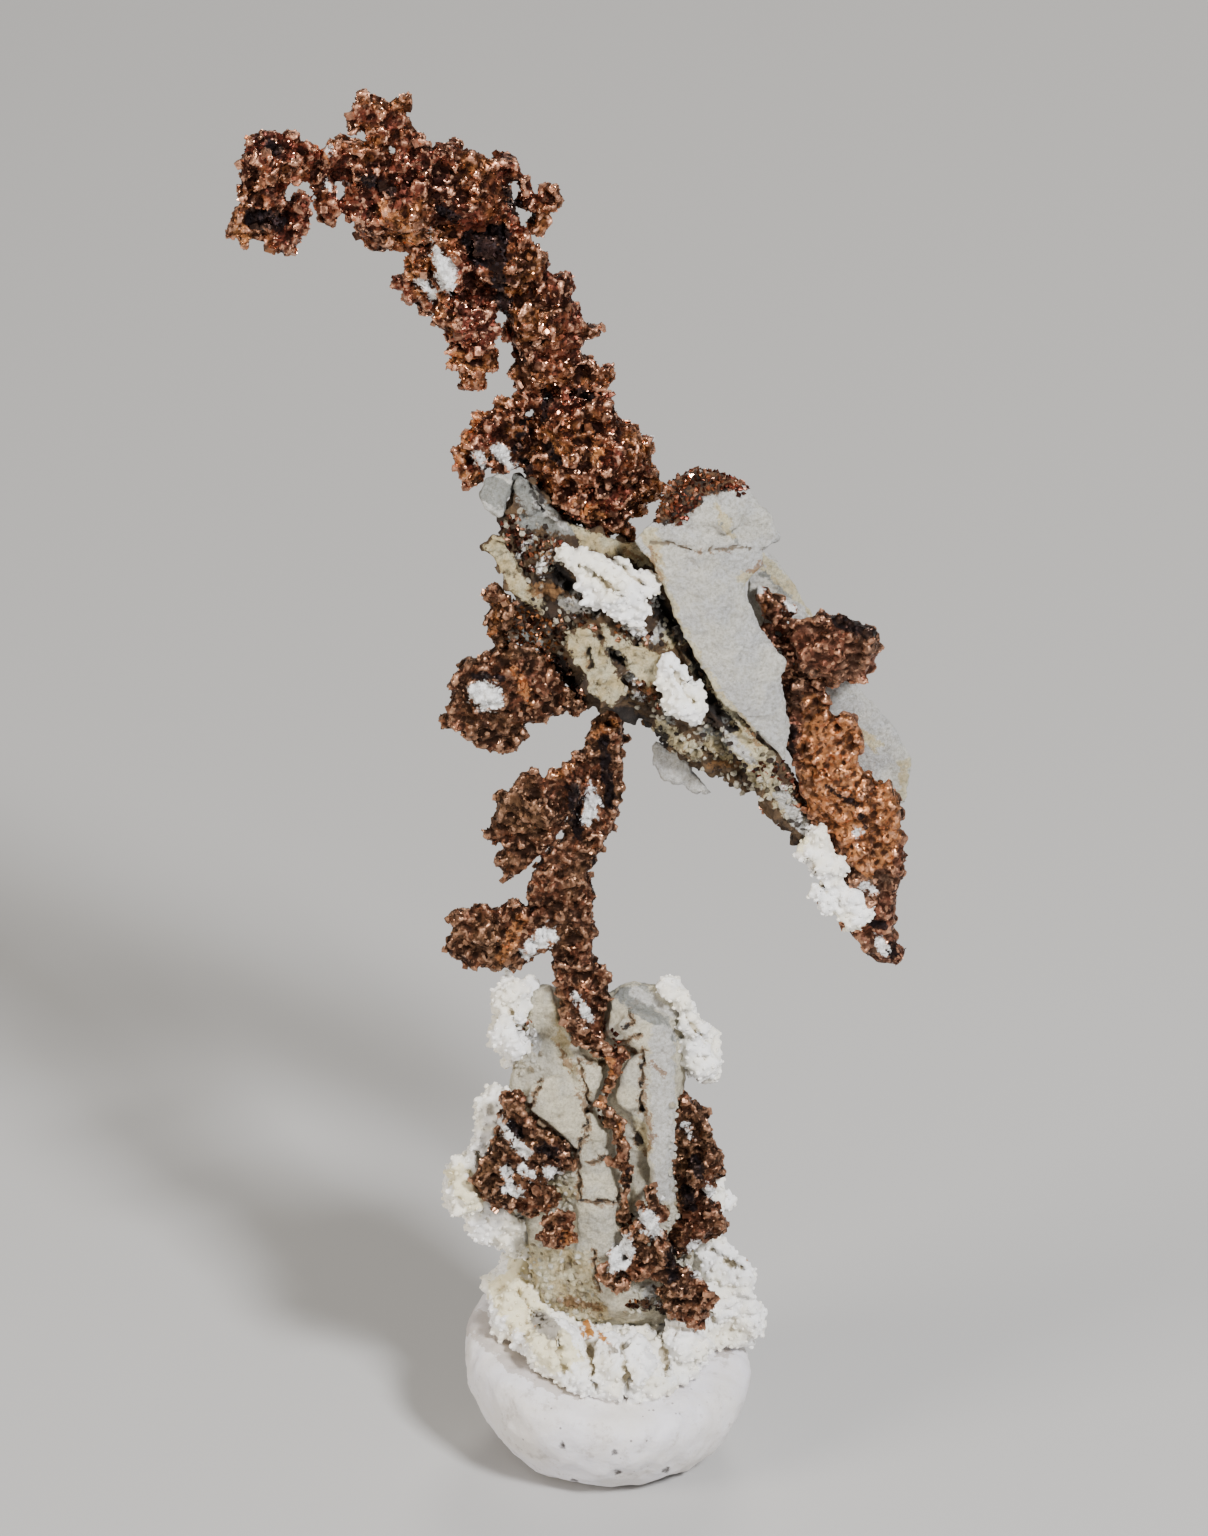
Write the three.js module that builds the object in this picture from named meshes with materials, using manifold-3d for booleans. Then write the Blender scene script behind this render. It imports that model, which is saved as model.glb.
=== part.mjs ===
// A native copper specimen: branching copper grown on pale rock with white crust, held upright in
// a lump of putty. Millimetres, Z up, the origin in the middle of the putty's flat underside.

import * as THREE from "three";
import { mergeVertices } from "three/addons/utils/BufferGeometryUtils.js";
import Module from "manifold-3d";

const wasm = await Module();
wasm.setup();

// Driving dimensions
const SEEN_FROM = THREE.MathUtils.degToRad(28); // the outlines are drawn from this far above level
const GAP = 0.25; // clearance kept between pieces that touch
const RIM = 0.45; // the share of its thickness that a plate keeps at its very edge
const SLOPE = 0.9; // a plate is at its full thickness this far in from the edge
const SMALLEST = 0.06; // anything finer than this is smoothed over
const PUTTY = {
  radius: 7.5,
  footRadius: 4.6,
  height: 6.5,
  dish: 0.7, // how far the top is pressed in
  fallRight: 0.15, // the top is lower on the right, by this much a millimetre
  riseBack: 0.1,
};
const MIND_THE_EDGE = 0.12; // how far a lump may reach past the outline that it fills

// Drawing space is (right, up, towards the viewer) as the specimen is seen. This stands it upright:
// a shape keeps its outline from that viewpoint, and its thickness runs along the line of sight.
const STAND_UP = new THREE.Matrix4().set(
  1, 0, 0, 0,
  0, 0, -1, 0,
  0, 1 / Math.cos(SEEN_FROM), Math.tan(SEEN_FROM), 0,
  0, 0, 0, 1,
);

// Materials
const COPPER = new THREE.MeshStandardMaterial({ color: 0x93502f, roughness: 0.35, metalness: 1 });
const ROCK = new THREE.MeshStandardMaterial({ color: 0xcfccbd, roughness: 0.9, metalness: 0 });
const CRUST = new THREE.MeshStandardMaterial({ color: 0xf5f2e6, roughness: 0.85, metalness: 0 });
const PUTTY_WHITE = new THREE.MeshStandardMaterial({ color: 0xe8e4de, roughness: 0.7, metalness: 0 });

// A repeatable stream of numbers between 0 and 1.
function dice(seed) {
  let state = Math.imul(seed, 2654435761) >>> 0;
  return () => {
    state = (state + 0x6d2b79f5) >>> 0;
    let mixed = Math.imul(state ^ (state >>> 15), 1 | state);
    mixed = (mixed + Math.imul(mixed ^ (mixed >>> 7), 61 | mixed)) ^ mixed;
    return ((mixed ^ (mixed >>> 14)) >>> 0) / 4294967296;
  };
}

function solidOf(geometry) {
  geometry.deleteAttribute("normal");
  geometry.deleteAttribute("uv");
  const merged = mergeVertices(geometry, 1e-4);
  return new wasm.Manifold(
    new wasm.Mesh({
      numProp: 3,
      vertProperties: new Float32Array(merged.attributes.position.array),
      triVerts: new Uint32Array(merged.index.array),
    }),
  );
}

function joined(solids) {
  return wasm.Manifold.union(solids);
}

// Slants a drawn shape in depth, by so much to the right and upwards, leaving its outline as it is,
// and stands it upright. A shape that lies down is drawn in plan instead, at a height.
function placed({ outline, at = 0, lean = [0, 0], lying = null }) {
  const middle = [0, 1].map((k) => outline.reduce((sum, p) => sum + p[k], 0) / outline.length);
  const depth = lying ?? at - lean[0] * middle[0] - lean[1] * middle[1];
  const slant = new THREE.Matrix4().set(
    1, 0, 0, 0,
    0, 1, 0, 0,
    lean[0], lean[1], 1, depth,
    0, 0, 0, 1,
  );
  return lying === null ? slant.premultiply(STAND_UP) : slant;
}

// A plate of the drawn outline, thinnest along its rim, with a hackly surface. When it is grown, it
// is the plain stepped slab that the plate and its clearance fit in.
function plate({ outline, thick, seed = 1, rough = 0.12, facet = 3.2, ...place }, grow) {
  const flat = new wasm.CrossSection([outline], "EvenOdd");
  const upright = placed({ outline, ...place }).elements;
  const slab = (offset, depth) =>
    flat.offset(offset, "Miter", 2).simplify(0.1).extrude(depth, 0, 0, [1, 1], true);
  if (grow) {
    const step = 0.3 * SLOPE;
    const rimDepth = thick * thinning(step) + 2 * (grow + 0.3 * rough);
    return slab(grow, rimDepth)
      .add(slab(grow - step, thick + 2 * (grow + rough)))
      .transform(upright);
  }
  const roll = dice(seed);
  return flat
    .extrude(thick, 0, 0, [1, 1], true)
    .refineToLength(facet)
    .warp((point) => {
      const inside = Math.max(depthInside(point, outline), 0);
      const share = Math.min(inside / SLOPE, 1) * rough;
      const stray = () => share * (2 * roll() - 1);
      point[2] = point[2] * thinning(inside) + stray();
      point[0] += stray();
      point[1] += stray();
    })
    .transform(upright);
}

// The share of its full thickness that a plate has so far in from its rim.
function thinning(inside) {
  return RIM + (1 - RIM) * Math.sqrt(Math.min(inside / SLOPE, 1));
}

// One crystal or grain: a small faceted body, turned and stretched by chance.
function lump(centre, radius, roll, grow) {
  const geometry = new THREE.IcosahedronGeometry(radius + grow * 1.4, 0);
  geometry.scale(1.1 - 0.25 * roll(), 1.1 - 0.25 * roll(), 1.1 - 0.25 * roll());
  geometry.rotateX(roll() * Math.PI);
  geometry.rotateY(roll() * Math.PI);
  geometry.rotateZ(roll() * Math.PI);
  return solidOf(geometry.translate(centre.x, centre.y, centre.z));
}

// How far a point lies inside an outline, or less than 0 outside it.
function depthInside([u, v], outline) {
  let nearest = Infinity;
  let inside = false;
  outline.forEach(([au, av], i) => {
    const [bu, bv] = outline[(i + 1) % outline.length];
    const along = ((u - au) * (bu - au) + (v - av) * (bv - av)) / ((bu - au) ** 2 + (bv - av) ** 2);
    const t = Math.min(Math.max(along, 0), 1);
    nearest = Math.min(nearest, Math.hypot(u - au - t * (bu - au), v - av - t * (bv - av)));
    if (av > v !== bv > v && u < au + ((v - av) * (bu - au)) / (bv - av)) inside = !inside;
  });
  return inside ? nearest : -nearest;
}

// Lumps spread evenly inside an outline: the further from its edge, the larger, so that together
// they make the shape full in the middle and thin at its rim.
function clump({ outline, lumps, ...place }, grow) {
  const { count, size, seed, deep = 0.5 } = lumps;
  const roll = dice(seed);
  const toSpecimen = placed({ outline, ...place });
  const us = outline.map((p) => p[0]);
  const vs = outline.map((p) => p[1]);
  const spots = [];
  const tries = 24;
  while (spots.length < count) {
    let best = null;
    for (let k = 0; k < tries; k++) {
      const u = THREE.MathUtils.lerp(Math.min(...us), Math.max(...us), roll());
      const v = THREE.MathUtils.lerp(Math.min(...vs), Math.max(...vs), roll());
      const inside = depthInside([u, v], outline);
      if (inside < 0.2) continue;
      const apart = Math.min(10, ...spots.map((s) => Math.hypot(s.u - u, s.v - v)));
      const merit = apart + 0.5 * Math.min(inside, size);
      if (!best || merit > best.merit) best = { u, v, inside, merit };
    }
    if (best) spots.push(best);
  }
  return joined(
    spots.map(({ u, v, inside }) => {
      const radius = Math.min(size, inside + MIND_THE_EDGE) * (0.75 + 0.35 * roll());
      const w = (roll() - 0.5) * 2 * deep;
      const centre = new THREE.Vector3(u, v, w).applyMatrix4(toSpecimen);
      return lump(centre, radius, roll, grow);
    }),
  );
}

// A branch or patch is a plate with lumps fused to it.
function growth(piece, grow) {
  const parts = [plate(piece, grow)];
  if (piece.lumps) parts.push(clump(piece, grow));
  return joined(parts);
}

// The putty: a ball pressed flat below and dished above, higher at its left and back.
function puttyBase(grow) {
  const { radius, footRadius, height, dish, fallRight, riseBack } = PUTTY;
  const low = new THREE.Vector2(footRadius, 0);
  const side = new THREE.SplineCurve([
    low,
    new THREE.Vector2(footRadius + 0.6, 0.4),
    new THREE.Vector2(radius * 0.87, 2.2),
    new THREE.Vector2(radius, height * 0.75),
    new THREE.Vector2(radius * 0.97, height * 0.95),
    new THREE.Vector2(radius * 0.88, height),
    new THREE.Vector2(radius * 0.6, height - dish * 0.7),
  ]);
  const profile = [
    new THREE.Vector2(0, 0),
    ...side.getPoints(9),
    new THREE.Vector2(0, height - dish),
  ];
  const geometry = new THREE.LatheGeometry(profile, 26);
  geometry.rotateX(Math.PI / 2);
  const position = geometry.attributes.position;
  for (let i = 0; i < position.count; i++) {
    const [x, y, z] = [position.getX(i), position.getY(i), position.getZ(i)];
    const share = THREE.MathUtils.smoothstep(z, 0, height);
    const around = Math.atan2(y, x);
    const swell = 1 + share * 0.02 * Math.sin(2 * around + 1) + share * 0.015 * Math.sin(3 * around);
    position.setXYZ(i, x * swell, y * swell, z + share * (riseBack * y - fallRight * x));
  }
  return solidOf(geometry).translate([0, 0, grow]); // everything else is above it
}

// Outlines, as (right, up) in drawing space. Sizes and depths are in millimetres too.
const STEM = {
  outline: [
    [0.1, 38.2], [0.8, 37.4], [0.8, 36.4], [0.5, 34.9], [0.6, 33.1], [0.2, 31.7], [-0.4, 30.8],
    [-1.1, 29.6], [-0.8, 27.2], [-0.8, 25.4], [0.1, 24.1], [-0.2, 22.8], [-0.4, 21.2], [-1.4, 21.0],
    [-2.2, 22.4], [-2.7, 24.4], [-2.6, 26.2], [-3.4, 27.6], [-4.0, 28.1], [-3.7, 29.8], [-2.4, 31.2],
    [-1.7, 32.8], [-1.9, 35.0], [-0.8, 36.5],
  ],
  thick: 2, at: 0.4, lean: [0, -0.16], lumps: { count: 6, size: 1.26, seed: 2, deep: 0.8 },
};
const STEM_LEAF = {
  outline: [
    [-1.9, 34.9], [-3.2, 34.4], [-3.8, 34.9], [-4.5, 33.9], [-5.4, 33.5], [-5.5, 32.6], [-6.2, 31.5],
    [-5.0, 31.1], [-5.6, 30.1], [-5.1, 29.3], [-4.3, 29.6], [-2.9, 31.0], [-1.6, 32.8], [-1.3, 34.2],
  ],
  thick: 1.4, at: 0.9, lean: [0.1, 0.05], lumps: { count: 4, size: 1.21, seed: 5, deep: 0.7 },
};
const STEM_SPUR = {
  outline: [
    [-3.2, 27.8], [-4.5, 28.2], [-5.2, 27.9], [-5.3, 27.3], [-5.8, 27.9], [-7.7, 27.8], [-7.5, 26.8],
    [-8.1, 26.0], [-7.7, 25.3], [-6.6, 24.9], [-5.4, 24.8], [-4.3, 24.9], [-3.2, 25.8], [-2.4, 25.8],
    [-2.3, 27.0],
  ],
  thick: 1.4, at: 1.1, lean: [-0.08, 0], lumps: { count: 4, size: 1.04, seed: 8, deep: 0.7 },
};
const VEIN = {
  outline: [
    [-2.2, 22.4], [-0.4, 21.3], [0.5, 21.0], [1.4, 20.6], [0.7, 20.0], [0.4, 18.6], [0.1, 17.9],
    [1.2, 17.2], [1.1, 16.2], [1.4, 14.6], [1.2, 13.6], [0.9, 11.6], [0.5, 11.8], [0.7, 13.4],
    [0.2, 15.0], [0.2, 16.2], [-0.8, 17.8], [-0.2, 18.8], [-0.1, 20.2], [-1.3, 20.4],
  ],
  thick: 1.6, at: 2.7, lumps: { count: 3, size: 0.66, seed: 3, deep: 0.2 },
};
const LOWER_BLOCK = {
  outline: [
    [-3.8, 23.6], [-3.0, 23.9], [-2.0, 23.0], [-0.2, 23.2], [1.0, 23.9], [2.6, 23.8], [3.6, 22.6],
    [3.9, 20.6], [3.7, 18.4], [3.8, 14.0], [4.4, 11.4], [4.3, 10.0], [4.0, 7.6], [2.8, 6.5],
    [-1.8, 6.6], [-3.4, 7.6], [-3.9, 9.8], [-4.2, 12.0], [-5.0, 14.6], [-4.9, 18.6], [-4.2, 21.0],
  ],
  thick: 6.2, at: -0.3, rough: 0.3, facet: 4.5,
};
const LOWER_PLATES = [
  { outline: [[-3.9, 18.8], [-3.2, 19.3], [-2.2, 19.2], [-1.1, 17.4], [-1.2, 15.9], [-1.7, 15.3], [-3.6, 16.5], [-4.1, 17.5]] },
  { outline: [[-3.6, 23.7], [-2.4, 22.5], [-1.6, 21.5], [-1.5, 20.2], [-1.9, 19.3], [-2.7, 19.8], [-3.4, 21.5]] },
  { outline: [[-1.5, 20.1], [-0.3, 19.9], [-0.2, 19.2], [-0.8, 17.9], [-1.5, 19.1]] },
  { outline: [[0.6, 20.2], [1.5, 20.1], [1.7, 17.8], [0.9, 17.3], [0.5, 18.4]] },
  { outline: [[0.5, 22.0], [2.4, 22.4], [3.3, 21.4], [3.4, 18.0], [3.0, 12.4], [2.2, 13.4], [1.9, 20.4]] },
  { outline: [[-1.3, 15.2], [0.0, 15.1], [0.5, 13.2], [0.6, 10.6], [-0.6, 8.2], [-1.6, 10.0], [-1.5, 13.0]] },
  { outline: [[0.9, 11.0], [1.5, 9.9], [0.9, 7.2], [0.1, 6.9], [-0.4, 8.6], [0.0, 10.2]] },
];
const CLUSTER_LEFT = {
  outline: [
    [-4.6, 18.8], [-5.4, 18.0], [-5.3, 16.2], [-6.2, 15.2], [-6.8, 13.6], [-5.6, 12.5], [-4.6, 12.5],
    [-3.6, 12.2], [-2.4, 13.0], [-3.4, 14.2], [-1.6, 14.8], [-2.2, 15.8], [-3.7, 16.6], [-4.1, 17.6],
  ],
  thick: 2.6, at: 2.7, lean: [0.15, 0], lumps: { count: 9, size: 0.95, seed: 4, deep: 0.3 },
};
const CLUSTER_LOW = {
  outline: [
    [-3.2, 12.6], [-2.0, 12.5], [-1.5, 11.0], [-2.0, 10.5], [-3.2, 10.5], [-3.5, 11.2],
  ],
  thick: 1.6, at: 3.7, lumps: { count: 3, size: 0.77, seed: 6, deep: 0.3 },
};
const CLUSTER_RIGHT = {
  outline: [
    [3.9, 18.4], [5.0, 17.4], [5.3, 15.8], [5.9, 14.4], [5.2, 13.6], [5.0, 12.5], [6.0, 11.8],
    [5.6, 11.0], [4.4, 10.8], [3.6, 9.8], [3.0, 10.6], [3.8, 12.4], [3.4, 14.6], [3.2, 16.8],
  ],
  thick: 3.0, at: 0.8, lumps: { count: 9, size: 1.1, seed: 7, deep: 0.5 },
};
const CLUSTER_FOOT = {
  outline: [
    [1.0, 11.4], [1.6, 12.2], [2.2, 13.7], [2.8, 13.2], [3.0, 10.4], [4.2, 9.4], [5.4, 7.8],
    [4.9, 6.4], [3.6, 6.6], [2.6, 7.6], [2.8, 8.8], [1.6, 9.0], [0.2, 8.0], [-0.6, 9.4], [0.1, 10.6],
  ],
  thick: 1.8, at: 3.3, lumps: { count: 8, size: 0.88, seed: 9, deep: 0.2 },
};
const SHOULDER_LEFT = {
  outline: [
    [-2.6, 24.5], [-3.6, 23.9], [-4.8, 24.0], [-5.5, 23.2], [-5.4, 22.3], [-5.7, 21.4], [-4.9, 19.9],
    [-4.2, 19.2], [-3.0, 19.7], [-3.3, 21.2], [-3.3, 22.8], [-2.6, 23.6],
  ],
  thick: 3.2, at: 0.3, lumps: { count: 4, size: 1.43, seed: 11, deep: 1.6 },
};
const SHOULDER_RIGHT = {
  outline: [
    [0.2, 23.7], [1.8, 24.1], [2.9, 23.9], [4.0, 22.9], [5.1, 21.5], [5.3, 20.0], [5.0, 19.3],
    [4.0, 19.8], [3.3, 20.9], [2.0, 22.2], [0.8, 23.0],
  ],
  thick: 4.4, at: 0.6, lumps: { count: 5, size: 1.54, seed: 12, deep: 2.0 },
};
const CRUST_LEFT = {
  outline: [
    [-4.8, 18.6], [-6.2, 18.1], [-6.2, 16.2], [-6.8, 15.1], [-7.6, 14.7], [-8.1, 13.7], [-7.7, 12.5],
    [-6.9, 12.4], [-6.8, 11.2], [-5.2, 10.5], [-4.0, 10.2], [-3.4, 11.4], [-4.0, 14.0], [-4.6, 16.4],
  ],
  thick: 3.6, at: 0.2, lumps: { count: 7, size: 1.65, seed: 13, deep: 1.7 },
};
const CRUST_RIGHT = {
  outline: [[4.9, 13.8], [5.6, 13.7], [6.0, 12.9], [5.9, 12.2], [5.2, 12.3], [4.6, 13.0]],
  thick: 2.4, at: -0.6, lumps: { count: 3, size: 0.99, seed: 14, deep: 0.6 },
};
const UPPER_BLOCK = {
  outline: [
    [-4.4, 49.2], [-3.7, 49.0], [-3.2, 48.0], [-1.8, 46.9], [0.0, 46.1], [2.0, 45.8], [2.6, 46.8],
    [3.6, 44.0], [5.2, 40.2], [7.4, 36.6], [8.8, 35.0], [9.6, 33.4], [10.4, 31.6], [9.6, 31.3],
    [8.5, 32.4], [7.4, 33.9], [5.2, 34.8], [3.2, 36.0], [2.3, 37.2], [0.4, 37.6], [-1.2, 38.2],
    [-2.2, 39.4], [-3.4, 41.0], [-4.9, 41.4], [-4.4, 43.0], [-4.8, 45.2], [-5.1, 46.8],
  ],
  thick: 4.6, at: -0.2, lean: [-0.06, 0], rough: 0.25, facet: 3.6,
  lumps: { count: 8, size: 2.53, seed: 21, deep: 0.9 },
};
const UPPER_PLATES = [
  { outline: [[-6.1, 45.8], [-5.7, 46.4], [-5.1, 46.0], [-4.2, 44.4], [-3.2, 43.2], [-3.4, 42.6], [-4.7, 43.5], [-5.5, 44.9]], at: 1.7 },
  { outline: [[-2.0, 41.6], [-1.0, 41.8], [-0.2, 40.8], [0.9, 38.6], [0.2, 37.9], [-0.9, 38.6], [-1.2, 39.6], [-2.0, 40.8]], at: 2.3 },
  { outline: [[-0.2, 41.8], [1.2, 40.9], [2.8, 40.5], [3.0, 39.6], [2.0, 38.8], [0.8, 39.9], [0.0, 40.8]], at: 2.3 },
  { outline: [[3.4, 41.8], [4.6, 39.9], [6.6, 37.2], [8.3, 35.4], [8.0, 34.4], [6.4, 35.6], [5.2, 37.4], [4.0, 39.6]], at: 1.9 },
];
const FRONT_SHEET = {
  outline: [
    [1.3, 46.0], [2.4, 47.2], [2.9, 48.7], [4.2, 49.5], [5.4, 49.4], [6.7, 48.7], [8.0, 47.1],
    [8.5, 46.1], [7.6, 45.6], [7.5, 44.7], [6.7, 44.1], [6.8, 43.2], [7.4, 41.9], [8.8, 40.1],
    [8.5, 39.4], [9.0, 37.0], [8.8, 35.3], [7.4, 36.1], [5.2, 38.7], [3.7, 41.6], [2.3, 44.8],
  ],
  thick: 1.7, at: 2.5, lean: [-0.1, 0.03], lumps: { count: 3, size: 1.32, seed: 22, deep: 0.2 },
};
const BACK_SHEET = {
  outline: [
    [7.0, 45.7], [7.9, 45.5], [8.8, 44.5], [10.3, 42.2], [12.2, 39.2], [14.2, 37.0], [15.2, 35.3],
    [14.9, 33.1], [12.8, 33.4], [10.6, 35.8], [8.6, 39.2], [7.0, 42.6],
  ],
  thick: 1.3, at: -1.1, lean: [-0.08, 0], lumps: { count: 3, size: 1.1, seed: 23, deep: 0.2 },
};
const BAND = {
  outline: [
    [7.4, 43.6], [8.4, 43.8], [9.4, 42.2], [10.3, 40.2], [11.0, 38.4], [11.0, 37.5], [12.3, 37.3],
    [12.9, 36.4], [12.2, 35.4], [13.2, 34.3], [14.2, 34.0], [14.7, 32.6], [14.5, 31.6], [14.9, 30.8],
    [14.6, 28.8], [14.3, 26.4], [15.0, 25.4], [14.6, 24.9], [13.4, 25.3], [12.0, 26.8], [10.9, 27.8],
    [10.6, 28.5], [11.0, 29.4], [10.6, 31.4], [9.5, 31.9], [9.2, 33.0], [9.4, 34.4], [9.0, 36.4],
    [8.6, 39.2], [8.8, 40.2], [7.5, 41.8],
  ],
  thick: 2, at: 0.5, lean: [0.05, -0.06], lumps: { count: 8, size: 1.38, seed: 24, deep: 0.7 },
};
const KNOB = {
  outline: [
    [9.0, 42.3], [11.0, 42.4], [12.4, 42.0], [13.3, 41.8], [13.4, 41.0], [13.0, 40.2], [12.8, 39.3],
    [11.6, 39.1], [10.0, 39.3], [9.2, 40.4],
  ],
  thick: 2.4, at: 1.3, lean: [0.12, 0], lumps: { count: 4, size: 1.43, seed: 25, deep: 0.7 },
};
const CRUST_TAIL = {
  outline: [
    [9.8, 31.9], [10.0, 30.4], [10.8, 29.4], [10.2, 28.5], [10.9, 27.7], [12.4, 27.0], [12.9, 27.9],
    [11.9, 29.2], [11.1, 30.6], [10.7, 31.8],
  ],
  thick: 1.2, at: 1.5, lumps: { count: 4, size: 0.8, seed: 26, deep: 0.3 },
};
const CRUST_BRIGHT = {
  outline: [
    [-2.3, 45.5], [-1.2, 45.5], [0.9, 44.9], [2.0, 44.0], [2.2, 42.6], [1.6, 41.8], [0.2, 42.6],
    [-1.0, 43.4], [-1.3, 44.3],
  ],
  thick: 1.8, at: 2.7, lean: [-0.05, 0], lumps: { count: 4, size: 1.1, seed: 27, deep: 0.4 },
};
const CRUST_LITTLE = {
  outline: [[2.6, 39.7], [3.2, 40.3], [4.0, 39.8], [4.6, 38.3], [4.3, 37.4], [3.5, 37.2], [2.9, 38.5]],
  thick: 1.6, at: 2.9, lumps: { count: 3, size: 0.99, seed: 28, deep: 0.3 },
};
const FLAKE = {
  outline: [
    [2.4, 36.2], [2.1, 35.0], [3.2, 34.1], [4.4, 33.6], [5.2, 33.6], [4.3, 34.6], [3.6, 35.8],
  ],
  thick: 0.7, at: -0.9,
};
const LEFT_LOBE = {
  outline: [
    [-4.6, 40.9], [-6.6, 40.4], [-7.6, 39.6], [-7.6, 38.3], [-8.1, 37.2], [-6.7, 36.4], [-5.6, 35.7],
    [-4.6, 35.9], [-4.0, 37.1], [-2.4, 37.7], [-1.0, 37.6], [-0.8, 38.6], [-1.8, 39.6], [-2.6, 41.0],
  ],
  thick: 2, at: 1.5, lean: [-0.1, 0.04], lumps: { count: 5, size: 1.38, seed: 29, deep: 0.9 },
};
const LEFT_KNOB = {
  outline: [
    [-5.3, 44.2], [-6.0, 44.0], [-5.9, 43.3], [-5.5, 43.1], [-6.2, 42.3], [-5.8, 41.3], [-4.4, 41.0],
    [-3.0, 41.6], [-2.6, 42.8], [-4.0, 43.2], [-5.0, 43.6],
  ],
  thick: 1.8, at: 1.4, lumps: { count: 3, size: 1.21, seed: 30 },
};
const PEBBLE = {
  outline: [
    [-6.3, 48.4], [-6.0, 49.1], [-5.3, 49.3], [-4.7, 48.9], [-4.1, 48.0], [-4.5, 47.5], [-5.3, 47.3],
    [-6.0, 47.7],
  ],
  thick: 1.8, at: 0.9,
};
const NECK = {
  outline: [
    [-3.7, 53.0], [-2.4, 53.3], [-0.9, 52.8], [0.1, 53.1], [0.4, 52.2], [1.2, 51.5], [2.0, 50.6],
    [1.8, 50.3], [2.6, 49.6], [2.7, 49.0], [1.9, 48.0], [1.0, 47.2], [1.3, 46.2], [0.4, 45.9],
    [-1.8, 46.6], [-3.2, 47.7], [-3.8, 49.4], [-4.0, 51.2],
  ],
  thick: 3, at: 0.1, lumps: { count: 7, size: 2.09, seed: 41, deep: 1 },
};
const NECK_LOBE = {
  outline: [
    [-3.4, 53.0], [-4.8, 53.1], [-6.4, 52.4], [-7.2, 51.4], [-7.7, 50.6], [-7.1, 49.8], [-7.2, 49.2],
    [-6.6, 48.9], [-5.9, 49.4], [-5.1, 49.6], [-4.3, 49.4], [-3.9, 50.4], [-3.9, 51.4],
  ],
  thick: 1.3, at: 0.9, lean: [-0.12, 0], lumps: { count: 4, size: 1.1, seed: 42 },
};
const COLUMN = {
  outline: [
    [-3.7, 60.9], [-3.0, 59.8], [-2.9, 58.8], [-2.1, 58.8], [-1.5, 57.4], [-0.5, 56.3], [-1.4, 55.9],
    [-1.1, 55.2], [-0.4, 54.7], [0.3, 54.5], [0.0, 53.2], [-1.6, 52.6], [-4.0, 52.8], [-4.7, 53.8],
    [-4.0, 55.2], [-4.9, 56.1], [-4.9, 57.3], [-7.0, 57.6], [-8.9, 57.1], [-9.8, 57.8], [-10.4, 58.5],
    [-9.7, 60.2], [-8.4, 60.8], [-6.0, 61.0],
  ],
  thick: 2.4, at: -0.1, lumps: { count: 8, size: 1.76, seed: 43, deep: 1.1 },
};
const TONGUE = {
  outline: [
    [-5.8, 58.0], [-8.1, 58.0], [-8.4, 56.6], [-8.1, 55.7], [-7.6, 55.3], [-8.0, 54.6], [-7.2, 54.0],
    [-6.3, 53.6], [-5.8, 54.2], [-5.3, 55.8], [-5.3, 57.0],
  ],
  thick: 1.4, at: 0.9, lean: [0, 0.08], lumps: { count: 4, size: 1.26, seed: 44 },
};
const ARM = {
  outline: [
    [-13.1, 62.6], [-12.7, 63.5], [-13.5, 65.0], [-12.8, 65.5], [-11.0, 65.1], [-9.7, 64.5],
    [-8.8, 64.9], [-7.4, 65.2], [-5.4, 64.2], [-4.8, 63.2], [-4.6, 61.6], [-4.0, 60.4], [-6.2, 59.9],
    [-8.2, 60.5], [-9.8, 60.1], [-11.3, 60.4], [-12.4, 61.4],
  ],
  thick: 2.4, at: 0.2, lean: [-0.14, 0], lumps: { count: 8, size: 1.87, seed: 45, deep: 1.1 },
};
const CREST = {
  outline: [
    [-12.8, 65.0], [-12.9, 66.3], [-12.4, 67.4], [-11.6, 67.7], [-11.1, 67.1], [-10.6, 66.7],
    [-10.0, 67.4], [-9.5, 67.3], [-9.9, 66.1], [-8.9, 65.4], [-9.4, 64.6], [-11.4, 64.4],
  ],
  thick: 1.8, at: 0.6, lean: [-0.1, -0.12], lumps: { count: 4, size: 1.21, seed: 46, deep: 0.7 },
};
const HOOK = {
  outline: [
    [-12.6, 63.4], [-13.0, 64.6], [-14.5, 65.2], [-15.9, 65.6], [-17.4, 65.2], [-17.8, 64.4],
    [-17.7, 63.2], [-18.2, 62.2], [-18.7, 61.0], [-17.9, 60.4], [-16.6, 60.4], [-15.9, 59.9],
    [-15.0, 60.7], [-14.5, 61.8], [-14.9, 62.6], [-15.7, 62.0], [-16.0, 62.8], [-14.7, 64.0],
    [-14.2, 63.2], [-14.1, 61.6], [-13.5, 61.3], [-13.2, 62.6],
  ],
  thick: 1.6, at: 1.4, lean: [-0.16, -0.05], lumps: { count: 6, size: 1.21, seed: 47, deep: 0.8 },
};
const CURL = {
  outline: [
    [-5.8, 64.0], [-5.3, 64.7], [-4.7, 64.5], [-3.5, 62.9], [-2.6, 63.4], [-2.0, 62.8], [-2.8, 61.9],
    [-3.0, 60.8], [-3.6, 60.5], [-4.1, 61.2], [-3.7, 61.9], [-4.4, 62.6], [-4.9, 63.4],
  ],
  thick: 1.2, at: -0.7, lean: [-0.25, 0], lumps: { count: 4, size: 0.77, seed: 48 },
};

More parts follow.
